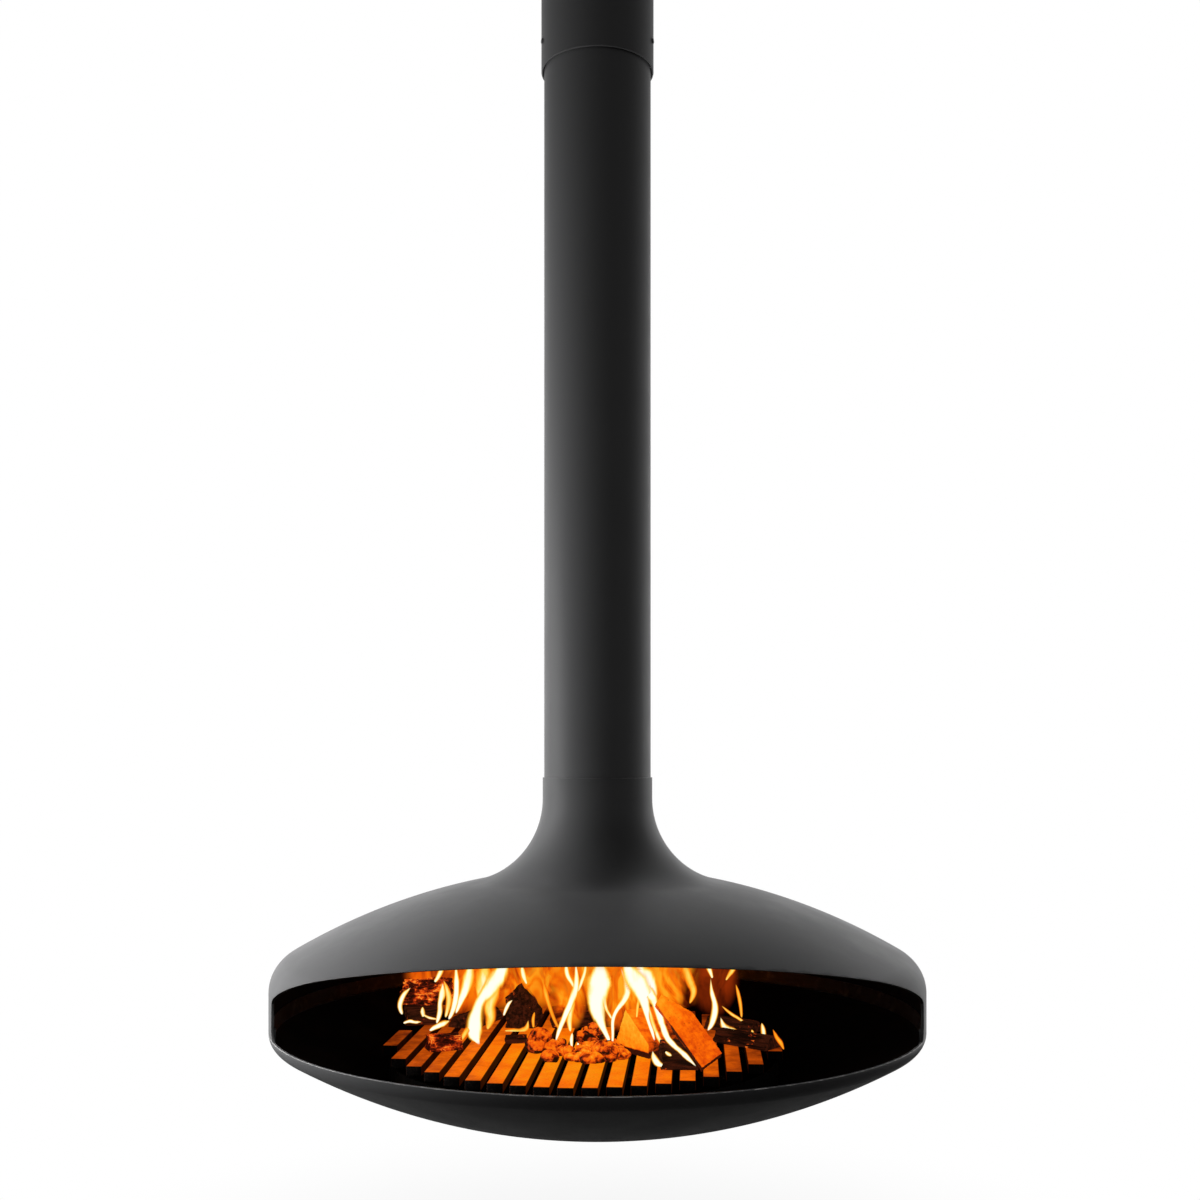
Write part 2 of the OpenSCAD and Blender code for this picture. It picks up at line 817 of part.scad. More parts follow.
module damper_lever() {
    color("#1a1a1a") damper_place()
        translate([bush_end + run_gap, 0, 0])
            difference() {
                union() {
                    rotate([0, 90, 0]) cylinder(r = hub_r, h = hub_w);
                    rotate([lever_lean, 0, 0]) {
                        translate([(hub_w - lever_t) / 2, -lever_w / 2, -lever_len + lever_ring_r])
                            cube([lever_t, lever_w, lever_len - lever_ring_r]);
                        translate([hub_w / 2, 0, -lever_len])
                            rotate([0, 90, 0])
                                rotate_extrude()
                                    translate([lever_ring_r, 0]) circle(r = lever_wire_r);
                    }
                }
                hub_bore(hub_w, M4[0]);
            }
}

// Bore of a hub along the axle, and the tapped hole for its grub screw from the top
module hub_bore(width, screw_r) {
    translate([-past, 0, 0]) rotate([0, 90, 0]) cylinder(r = axle_r + set_gap, h = width + 2 * past);
    translate([width / 2, 0, 0]) cylinder(r = screw_r + set_gap, h = hub_r + past);
}

module axle_collar() {
    color("silver") damper_place()
        translate([-bush_end - run_gap - axle_collar_w, 0, 0])
            difference() {
                rotate([0, 90, 0]) cylinder(r = hub_r, h = axle_collar_w);
                hub_bore(axle_collar_w, small_grub_r);
            }
}

module grub_screws() {
    screw_len = hub_r - axle_r - 1;
    color("silver") damper_place() translate([0, 0, axle_r + set_gap]) {
        translate([bush_end + run_gap + hub_w / 2, 0, 0]) cylinder(r = M4[0], h = screw_len);
        translate([-bush_end - run_gap - axle_collar_w / 2, 0, 0]) cylinder(r = small_grub_r, h = screw_len);
    }
}

// ---- Grate, which lifts out with what lies on it ----

module grate_bars() {
    color("#5a4a40")
        translate(grate_at) rotate([0, 0, grate_turn])
            for (i = [0 : bar_count - 1]) {
                x = (i - (bar_count - 1) / 2) * bar_pitch;
                half = chord(grate_r, abs(x) + bar_w / 2);
                translate([x - bar_w / 2, -half, grate_z - bar_h]) cube([bar_w, 2 * half, bar_h]);
            }
}

module cross_bars() {
    color("#4a4a4a")
        translate(grate_at) rotate([0, 0, grate_turn])
            for (y = [-cross_offset, 0, cross_offset]) {
                half = chord(stand_r + 2, abs(y) + cross_w / 2);
                translate([-half, y - cross_w / 2, cross_z]) cube([2 * half, cross_w, cross_h]);
            }
}

// ---- Fire: what lies on the grate ----

// Moves a log, whose middle is at the origin and whose length is along X, onto the grate
module lay(place, turn, lift = 0) {
    translate([grate_at[0] + place[0], grate_at[1] + place[1], grate_z + lift])
        rotate([0, 0, turn]) children();
}

// A half log on its split face
module half_log(r, length) {
    rotate([90, 0, 90])
        linear_extrude(height = length, center = true)
            intersection() {
                circle(r = r);
                translate([-r, 0]) square([2 * r, r]);
            }
}

// A half log on its bark, split face up
module turned_log(r, length) {
    translate([0, 0, r]) rotate([180, 0, 0]) half_log(r, length);
}

// A quarter log with one split face down and one upright, split once more along its bark
module quarter_log(r, width, length) {
    rotate([90, 0, 90])
        linear_extrude(height = length, center = true)
            translate([-width / 2, 0])
                intersection() {
                    circle(r = r);
                    square([width, r]);
                }
}

module log_back() {
    color("#3a2618") lay(back_log_at, 6) half_log(back_log_r, back_log_len);
}

module log_centre() {
    color("#2e1d12") lay(centre_log_at, 84) quarter_log(centre_log_r, centre_log_w, centre_log_len);
}

module log_left() {
    color("#4a2c18") lay(left_log_at, 12) turned_log(left_log_r, left_log_len);
}

module log_top() {
    color("#50301a") lay(top_log_at, -14, left_log_r) half_log(top_log_r, top_log_len);
}

module log_side() {
    color("#2e1d12") lay(side_log_at, 66) half_log(side_log_r, side_log_len);
}

module log_wedge() {
    color("#7a4a24") lay(wedge_at, 35.5)
        rotate([90, 0, 90])
            linear_extrude(height = wedge_len, center = true)
                polygon(wedge_section);
}

module log_prop() {
    prop_y = board_foot[1] + (prop_log_r + run_gap) / sin(board_lean);
    color("#3a2618") lay([board_foot[0] - prop_log_left, prop_y], 0) half_log(prop_log_r, prop_log_len);
}

module split_board() {
    color("#8a5a2c")
        lay(board_foot, 0)
            rotate([board_lean, 0, 0]) rotate([0, 0, board_roll])
                linear_extrude(height = board_t) polygon(board_outline);
}

module log_right() {
    color("#2a1a10") lay(right_log_at, -42) half_log(right_log_r, right_log_len);
}

module log_far() {
    color("#2a1a10") lay(far_log_at, -36) half_log(right_log_r, far_log_len);
}

module charred_block() {
    color("#1d1512") lay(block_at, 22)
        translate([-block_size[0] / 2, -block_size[1] / 2, 0]) cube(block_size);
}

module charred_stub() {
    color("#1d1512") lay(stub_at, 8) half_log(stub_r, stub_len);
}

// Rows of ember lumps between the logs and the front of the grate
module embers() {
    color("#d05010")
        for (row = [0 : len(ember_rows) - 1], i = [0 : ember_rows[row] - 1]) {
            seed = 5 * row + i;
            size = ember_size + ember_spread * sin(seed * 77);
            x = ember_at[0] + ember_step * i - ember_offset * (row % 2);
            lay([x, ember_at[1] - ember_row * row], seed * 37)
                translate([-size / 2, -size / 2, 0]) cube([size, size, size * 0.8]);
        }
}

// ---- Ash pan ----

// Points of one skin of the ash pan, from under its bead down to the axis, parallel to the bowl
function pan_skin(inset) = arc(
    [0, dish_z], pan_out_r - inset, -acos((pan_r - inset) / (pan_out_r - inset)), -90, 10
);

// Points of the bead that stiffens the pan's edge, from its inner side over the top
function pan_bead() = arc([pan_r, pan_top - pan_wall], pan_wall, 180, -90, 12);

module ash_pan() {
    color("#404040")
        rotate_extrude($fn = 180)
            polygon(concat(pan_bead(), pan_skin(0), reverse(pan_skin(pan_wall))));
}

module pan_grips() {
    color("#505050")
        for (side = [0, 180])
            rotate([0, 0, side])
                translate([pan_r, 0, grip_z])
                    rotate([0, 0, -90])
                        rotate_extrude(angle = 180)
                            translate([grip_r, 0]) circle(r = grip_wire_r);
}

ceiling_plate();
flue_spigot();
flue_seal();
bearing_housing();
housing_bolts();
lower_race();
ceiling_rose();
rose_screws();
bearing_balls();
cage_ring();
upper_race();
suspension_ring();
flue_tube();
flue_foot_ring();
flange_gasket();
neck_ring();
foot_bolts();
foot_nuts();
hood();
bowl();
seam_strip();
grate_stand();
damper_collar();
damper_bushes();
cover_sleeve();
sleeve_screws();
damper_axle();
damper_blade();
blade_screws();
damper_lever();
axle_collar();
grub_screws();
grate_bars();
cross_bars();
log_back();
log_centre();
log_left();
log_top();
log_side();
log_wedge();
log_prop();
split_board();
log_right();
log_far();
charred_block();
charred_stub();
embers();
ash_pan();
pan_grips();
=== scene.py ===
"""Hanging fireplace: the finishes, firewood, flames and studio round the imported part.

Every length is in metres where nothing else is said, and every place is in the part's own frame:
+Z up, -Y out of the mouth.
"""

import logging
import math
import random
from collections.abc import Callable, Iterable, Sequence
from dataclasses import dataclass
from enum import Enum
from functools import partial, reduce

import bmesh
import bpy
from mathutils import Euler, Matrix, Vector, noise

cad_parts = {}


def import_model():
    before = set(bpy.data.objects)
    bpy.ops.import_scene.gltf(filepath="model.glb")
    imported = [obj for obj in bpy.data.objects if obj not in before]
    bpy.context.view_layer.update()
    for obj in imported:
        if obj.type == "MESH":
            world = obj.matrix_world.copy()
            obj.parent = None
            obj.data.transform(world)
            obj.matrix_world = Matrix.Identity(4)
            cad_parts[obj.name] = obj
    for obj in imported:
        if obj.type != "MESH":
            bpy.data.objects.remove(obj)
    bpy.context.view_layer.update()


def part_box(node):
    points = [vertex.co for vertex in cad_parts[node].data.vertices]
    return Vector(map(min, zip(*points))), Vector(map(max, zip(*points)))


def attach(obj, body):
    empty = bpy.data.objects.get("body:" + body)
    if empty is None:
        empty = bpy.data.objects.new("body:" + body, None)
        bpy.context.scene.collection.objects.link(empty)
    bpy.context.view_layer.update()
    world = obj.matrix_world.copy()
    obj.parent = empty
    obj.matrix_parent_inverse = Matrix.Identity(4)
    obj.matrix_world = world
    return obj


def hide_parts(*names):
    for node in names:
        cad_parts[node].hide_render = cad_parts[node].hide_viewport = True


LOG = logging.getLogger("fireplace")

Rgb = tuple[float, float, float]
Point = tuple[float, float, float]
Flat = tuple[float, float]
Stops = tuple[tuple[float, Rgb], ...]
BMesh = bmesh.types.BMesh
BMFace = bmesh.types.BMFace
Material = bpy.types.Material
Object = bpy.types.Object
Socket = bpy.types.NodeSocket
Source = Socket | float | Sequence[float]

# Corners nearer than this are one corner.
MERGE = 1e-5
# Edges sharper than this stay sharp in the shading.
SMOOTH_ANGLE = math.radians(34)
# Faces that meet at less than this become one face.
FLAT_ANGLE = math.radians(0.2)
BLACK: Rgb = (0.0, 0.0, 0.0)
WHITE: Rgb = (1.0, 1.0, 1.0)
EVEN: Point = (1.0, 1.0, 1.0)
UNTURNED: Point = (0.0, 0.0, 0.0)
UP: Point = (0.0, 0.0, 1.0)
# Where most of a fractal noise lies.
MIDDLING: Flat = (0.3, 0.7)
# The factor and the two colours of a colour mix, and its result.
MIX_INPUTS = (0, 6, 7)
MIX_OUTPUT = 2
FLAME_UV = "UVMap"
FLAME_WARMTH = "warmth"


# ---- Node recipes ----


@dataclass(frozen=True)
class Lumps:
    """A fractal noise: lumps per metre, octaves, weight of the small lumps, swirl and stretch."""

    scale: float
    detail: float = 4
    rough: float = 0.55
    swirl: float = 0.0
    stretch: Point = EVEN


class Nodes:
    """A node tree in the making."""

    def __init__(self, tree: bpy.types.NodeTree) -> None:
        """Empties a tree and starts in it.

        Args:
            tree: The tree of a material or of the world.
        """
        self.tree = tree
        self.tree.nodes.clear()

    def feed(self, socket: Socket, value: Source) -> None:
        """Links a source to a socket, or sets the socket to a plain value or colour."""
        if isinstance(value, bpy.types.NodeSocket):
            self.tree.links.new(value, socket)
        else:
            socket.default_value = (*value, 1.0) if socket.type == "RGBA" else value

    def node(self, kind: str, *sources: Source, **named: Source | str) -> bpy.types.Node:
        """Adds a node.

        Args:
            kind: Its type, without the ShaderNode in front.
            sources: What its first sockets get, in order.
            named: Its settings, in lower case, and what its named sockets get, with a capital
                letter and with _ for a space.

        Returns:
            The node.
        """
        made = self.tree.nodes.new("ShaderNode" + kind)
        for name, value in named.items():
            if name.islower():
                setattr(made, name, value)
            else:
                self.feed(made.inputs[name.replace("_", " ")], value)
        for socket, source in zip(made.inputs, sources):
            self.feed(socket, source)
        return made

    def ranged(self, value: Source, low: float, high: float, to_low: float = 0.0,
               to_high: float = 1.0) -> Socket:
        """Carries low..high over to to_low..to_high, clamped, with soft ends."""
        return self.node(
            "MapRange", interpolation_type="SMOOTHSTEP", Value=value,
            From_Min=low, From_Max=high, To_Min=to_low, To_Max=to_high,
        ).outputs["Result"]

    def varied(self, pattern: Source, to_low: float, to_high: float) -> Socket:
        """Carries the middling values of a pattern, where most of it lies, over to a range."""
        return self.ranged(pattern, *MIDDLING, to_low, to_high)

    def maths(self, operation: str, first: Source, second: Source = 0.0) -> Socket:
        """One arithmetic step, such as SUBTRACT or MAXIMUM."""
        return self.node("Math", first, second, operation=operation).outputs["Value"]

    def total(self, *values: Source) -> Socket:
        """Two or more values added up."""
        return reduce(partial(self.maths, "ADD"), values)

    def product(self, *values: Source) -> Socket:
        """Two or more values multiplied."""
        return reduce(partial(self.maths, "MULTIPLY"), values)

    def parts(self, vector: Socket) -> tuple[Socket, Socket, Socket]:
        """The X, Y and Z of a vector."""
        split = self.node("SeparateXYZ", vector).outputs
        return split["X"], split["Y"], split["Z"]

    def rays(self) -> tuple[Socket, Socket]:
        """Whether a ray comes straight from the camera, and whether by a mirror or through glass."""
        path = self.node("LightPath").outputs
        mirrored = self.maths("MAXIMUM", path["Is Glossy Ray"], path["Is Transmission Ray"])
        return path["Is Camera Ray"], mirrored


class Recipe(Nodes):
    """The node tree of one finish, which ends in one Principled shader."""

    def __init__(self, name: str) -> None:
        """Starts an empty finish.

        Args:
            name: The material's name.
        """
        self.material = bpy.data.materials.new(name)
        self.material.use_nodes = True
        super().__init__(self.material.node_tree)
        self.shader = self.node("BsdfPrincipled")
        self.output = self.node("OutputMaterial", self.shader.outputs["BSDF"])
        coordinates = self.node("TexCoord").outputs
        self.place = coordinates["Object"]
        self.direction = coordinates["Normal"]

    def surface(self, **values: Source) -> None:
        """Feeds the shader's sockets, named as in the editor with _ for a space."""
        for name, value in values.items():
            self.feed(self.shader.inputs[name.replace("_", " ")], value)

    def framed(self, middle: Sequence[float], turn: Sequence[float], size: Sequence[float]) -> Socket:
        """Object coordinates as seen in a box: 0 at its middle and 1 at its size.

        Args:
            middle: The box's middle.
            turn: Its turn about X, Y and Z, in radians.
            size: Its size along X, Y and Z.

        Returns:
            The coordinates.
        """
        return self.node("Mapping", self.place, middle, turn, size, vector_type="TEXTURE").outputs["Vector"]

    def stretched(self, size: Sequence[float], turn: Sequence[float] = UNTURNED) -> Socket:
        """Object coordinates turned, in radians, and scaled for a pattern."""
        return self.framed(UNTURNED, turn, [1 / s for s in size])

    def cloud(self, lumps: Lumps, turn: Sequence[float] = UNTURNED) -> Socket:
        """Fractal noise around 0.5. A stretched one can be turned, in radians."""
        place = self.place if lumps.stretch == EVEN else self.stretched(lumps.stretch, turn)
        return self.node(
            "TexNoise", Vector=place, Scale=lumps.scale, Detail=lumps.detail,
            Roughness=lumps.rough, Distortion=lumps.swirl,
        ).outputs["Fac"]

    def warped(self, place: Socket, scale: float, push: float) -> Socket:
        """Coordinates pushed about by noise, so that cells in them look grown.

        Args:
            place: The coordinates.
            scale: Lumps of the noise per metre.
            push: How far they are pushed, in metres.

        Returns:
            The pushed coordinates.
        """
        wobble = self.node("TexNoise", Vector=place, Scale=scale, Detail=3).outputs["Color"]
        moved = self.node("VectorMath", wobble, (push, push, push), place, operation="MULTIPLY_ADD")
        return moved.outputs["Vector"]

    def cracks(self, scale: float, place: Socket) -> Socket:
        """Distance to the edges of irregular cells, 0 in a crack."""
        cells = self.node("TexVoronoi", feature="DISTANCE_TO_EDGE", Vector=place, Scale=scale)
        return cells.outputs["Distance"]

    def blend(self, factor: Source, first: Source, second: Source) -> Socket:
        """Mixes two colours."""
        mix = self.node("Mix", data_type="RGBA")
        for index, value in zip(MIX_INPUTS, (factor, first, second)):
            self.feed(mix.inputs[index], value)
        return mix.outputs[MIX_OUTPUT]

    def steps(self, value: Source, stops: Stops) -> Socket:
        """A colour ramp.

        Args:
            value: Where on the ramp, from 0 to 1.
            stops: Positions and their colours.

        Returns:
            The colour.
        """
        node = self.node("ValToRGB", value)
        ramp = node.color_ramp
        for index, (position, colour) in enumerate(stops):
            if index > 1:
                ramp.elements.new(position)
            ramp.elements[index].position = position
            ramp.elements[index].color = (*colour, 1.0)
        return node.outputs["Color"]

    def facing(self) -> tuple[Socket, Socket, Socket]:
        """The X, Y and Z of the surface's direction, in the piece's own frame."""
        return self.parts(self.direction)

    def toward(self, direction: Sequence[float]) -> Socket:
        """How far the surface looks in a direction, from -1 to 1."""
        return self.node("VectorMath", self.direction, direction, operation="DOT_PRODUCT").outputs["Value"]

    def nearness(self, centre: Sequence[float], reach: Sequence[float]) -> Socket:
        """1 at a point, falling softly to 0 on an ellipsoid about it.

        Args:
            centre: The point.
            reach: Half sizes of the ellipsoid.

        Returns:
            The nearness.
        """
        away = self.node("VectorMath", self.framed(centre, UNTURNED, reach), operation="LENGTH")
        return self.ranged(away.outputs["Value"], 0.0, 1.0, 1.0, 0.0)

    def lens_place(self) -> tuple[Socket, Socket, Socket]:
        """A flame's own coordinates: how far off its middle line, how far along it, and its warmth."""
        across, along, _ = self.parts(self.node("UVMap", uv_map=FLAME_UV).outputs["UV"])
        off_middle = self.maths("ABSOLUTE", self.maths("SUBTRACT", across, 0.5))
        warmth = self.node("Attribute", attribute_name=FLAME_WARMTH)
        return off_middle, along, warmth.outputs["Fac"]

    def glow_through(self, shown: Source, colour: Source, strength: float) -> None:
        """Makes the surface a clear one that only glows.

        Args:
            shown: How much of the glow is there, from 0 to 1.
            colour: The glow's colour.
            strength: Its strength.
        """
        self.surface(
            Base_Color=BLACK, Roughness=1.0, Specular_IOR_Level=0.0, Alpha=shown, Emission_Color=colour,
            Emission_Strength=strength,
        )

    def bump(self, height: Source, depth: float, strength: float) -> None:
        """Raises the surface by a pattern.

        Args:
            height: The pattern, from 0 to 1.
            depth: Its height in metres.
            strength: Share of the effect.
        """
        raised = self.node("Bump", Strength=strength, Distance=depth, Height=height)
        self.surface(Normal=raised.outputs["Normal"])


# ---- Finishes ----


@dataclass(frozen=True)
class BlackPaint:
    """Matt heat-proof paint, sprayed on sheet steel, with a trace of dust on what looks up."""

    name: str = "black_paint"
    colour: Rgb = (0.058, 0.058, 0.059)
    dust: Rgb = (0.064, 0.064, 0.065)
    roughness: Flat = (0.36, 0.44)
    film: Lumps = Lumps(9, 5, 0.6)
    grit: Lumps = Lumps(900, 2, 0.5)

    def make(self) -> Material:
        """Builds the material."""
        recipe = Recipe(self.name)
        film = recipe.cloud(self.film)
        settled = recipe.ranged(recipe.facing()[2], 0.2, 1.0)
        dusty = recipe.product(settled, recipe.ranged(film, 0.42, 0.75))
        recipe.surface(
            Base_Color=recipe.blend(dusty, self.colour, self.dust),
            Roughness=recipe.varied(film, *self.roughness),
            Specular_IOR_Level=0.10,
        )
        recipe.bump(recipe.cloud(self.grit), depth=0.00003, strength=0.5)
        return recipe.material


@dataclass(frozen=True)
class WornHighlightEdge:
    """Paint worn thin along an edge, where the steel shows through, and lighter overall as a painted
    highlight along the edge.
    """

    name: str = "worn_highlight_edge"
    # The edge's paint is lighter than the body's paint: a painted highlight.
    paint: Rgb = (0.13, 0.13, 0.132)
    steel: Rgb = (0.34, 0.33, 0.32)
    wear: Lumps = Lumps(60, 5, 0.6)
    scratches: Lumps = Lumps(400, 2)

    def make(self) -> Material:
        """Builds the material."""
        recipe = Recipe(self.name)
        worn = recipe.ranged(recipe.cloud(self.wear), 0.42, 0.68)
        recipe.surface(
            Base_Color=recipe.blend(worn, self.paint, self.steel),
            Roughness=recipe.ranged(worn, 0, 1, 0.5, 0.36),
            Metallic=recipe.ranged(worn, 0, 1, 0.0, 0.5),
        )
        recipe.bump(recipe.cloud(self.scratches), depth=0.00005, strength=0.4)
        return recipe.material


@dataclass(frozen=True)
class PatchySteel:
    """Steel with patches: soot or mill scale, broken by a second colour."""

    name: str
    colour: Rgb
    patch: Rgb
    patches: Lumps
    patchy: Flat
    roughness: Flat
    metallic: float
    specular: float
    relief: Lumps
    relief_depth: float

    def make(self) -> Material:
        """Builds the material."""
        recipe = Recipe(self.name)
        patches = recipe.cloud(self.patches)
        recipe.surface(
            Base_Color=recipe.blend(recipe.ranged(patches, *self.patchy), self.colour, self.patch),
            Metallic=self.metallic,
            Roughness=recipe.varied(patches, *self.roughness),
            Specular_IOR_Level=self.specular,
        )
        recipe.bump(recipe.cloud(self.relief), depth=self.relief_depth, strength=0.6)
        return recipe.material


# Painted steel inside the firebox, dull with soot and browner in patches.
SOOTED_STEEL = PatchySteel(
    "sooted_steel", colour=(0.004, 0.0036, 0.0034), patch=(0.014, 0.009, 0.007), patches=Lumps(11, 6, 0.65),
    patchy=(0.45, 0.7), roughness=(0.82, 0.96), metallic=0.0, specular=0.12, relief=Lumps(260, 4, 0.7),
    relief_depth=0.0003,
)
# Hot-rolled steel with its blue-grey scale, rubbed bare in patches.
MILL_STEEL = PatchySteel(
    "mill_steel", colour=(0.075, 0.078, 0.085), patch=(0.20, 0.20, 0.20), patches=Lumps(28, 6, 0.62),
    patchy=(0.52, 0.74), roughness=(0.58, 0.40), metallic=0.85, specular=0.5, relief=Lumps(320, 4, 0.6),
    relief_depth=0.00008,
)


@dataclass(frozen=True)
class BrightMetal:
    """A machined or plated metal: zinc, bearing steel or brass."""

    name: str
    colour: Rgb
    shade: Rgb
    roughness: float
    dulled: float = 0.14
    clouding: Lumps = Lumps(55, 5, 0.6)
    turning: Lumps = Lumps(700, 2, 0.5, stretch=(0.08, 0.08, 1.0))

    def make(self) -> Material:
        """Builds the material."""
        recipe = Recipe(self.name)
        clouding = recipe.cloud(self.clouding)
        recipe.surface(
            Base_Color=recipe.blend(recipe.ranged(clouding, 0.35, 0.7), self.colour, self.shade),
            Metallic=1.0,
            Roughness=recipe.varied(clouding, self.roughness, self.roughness + self.dulled),
        )
        recipe.bump(recipe.cloud(self.turning), depth=0.00002, strength=0.5)
        return recipe.material


ZINC_PLATE = BrightMetal("zinc_plate", (0.60, 0.61, 0.62), (0.42, 0.44, 0.48), 0.30)
BEARING_STEEL = BrightMetal("bearing_steel", (0.74, 0.74, 0.75), (0.60, 0.60, 0.62), 0.12)
BUSH_BRASS = BrightMetal("bush_brass", (0.72, 0.50, 0.20), (0.50, 0.34, 0.14), 0.26)


@dataclass(frozen=True)
class FibreSeal:
    """Woven ceramic fibre of the seal and the gasket."""

    name: str = "ceramic_fibre"
    thread: Rgb = (0.66, 0.63, 0.56)
    gap: Rgb = (0.34, 0.31, 0.27)
    rows_scale: float = 90

    def make(self) -> Material:
        """Builds the material."""
        recipe = Recipe(self.name)
        weave = recipe.node(
            "TexWave", recipe.place, bands_direction="Z", Scale=self.rows_scale, Distortion=3, Detail=3,
        )
        rows = weave.outputs["Fac"]
        recipe.surface(
            Base_Color=recipe.blend(rows, self.gap, self.thread),
            Roughness=recipe.ranged(rows, 0, 1, 0.95, 0.85),
        )
        recipe.bump(rows, depth=0.0005, strength=0.7)
        return recipe.material


@dataclass(frozen=True)
class HotFirelitIron:
    """Cast iron of the grate: black, its upper faces glowing partly from heat and partly with the fire's
    light painted on.
    """

    name: str = "hot_firelit_iron"
    iron: Rgb = (0.010, 0.009, 0.009)
    rust: Rgb = (0.028, 0.022, 0.018)
    glow: Stops = (
        (0.0, (0.10, 0.010, 0.001)),
        (0.40, (0.52, 0.070, 0.002)),
        (0.72, (0.98, 0.165, 0.001)),
        (1.0, (1.0, 0.27, 0.002)),
    )
    heat_and_firelight_centre: Point = (-0.04, -0.16, -2.21)
    heat_and_firelight_reach: Point = (0.50, 0.70, 0.12)
    strength: float = 0.97
    side: float = 0.03
    patches: Lumps = Lumps(26, 5, 0.6)
    pits: Lumps = Lumps(210, 4, 0.65)

    def make(self) -> Material:
        """Builds the material."""
        recipe = Recipe(self.name)
        # Glow strongest round the fire's middle: partly heat, partly a painted pool of firelight.
        heat = recipe.nearness(self.heat_and_firelight_centre, self.heat_and_firelight_reach)
        pits = recipe.cloud(self.pits)
        uneven = recipe.total(heat, recipe.varied(recipe.cloud(self.patches), -0.14, 0.14))
        # Painted firelight: upper faces glow most, the sides only faintly.
        sideways, _, upward = recipe.facing()
        flank = recipe.ranged(recipe.maths("ABSOLUTE", sideways), 0.5, 0.9, 0.0, self.side)
        faced = recipe.total(recipe.ranged(upward, 0.55, 0.98), flank)
        lit = recipe.product(faced, recipe.ranged(pits, 0.24, 0.46, 0.72, 1.0))
        recipe.surface(
            Base_Color=recipe.blend(recipe.ranged(pits, 0.4, 0.7), self.iron, self.rust),
            Roughness=recipe.varied(pits, 0.86, 0.72),
            Specular_IOR_Level=0.03,
            Emission_Color=recipe.steps(uneven, self.glow),
            Emission_Strength=recipe.product(lit, self.strength),
        )
        recipe.bump(pits, depth=0.0006, strength=0.6)
        return recipe.material


class Burn(Enum):
    """How far a piece of firewood has burnt."""

    CHARRED = "charred"
    SMOULDERING = "smouldering"
    # Lit by the flames: the fire's light is painted on as a glow.
    BLAZING_FIRELIT = "blazing_firelit"


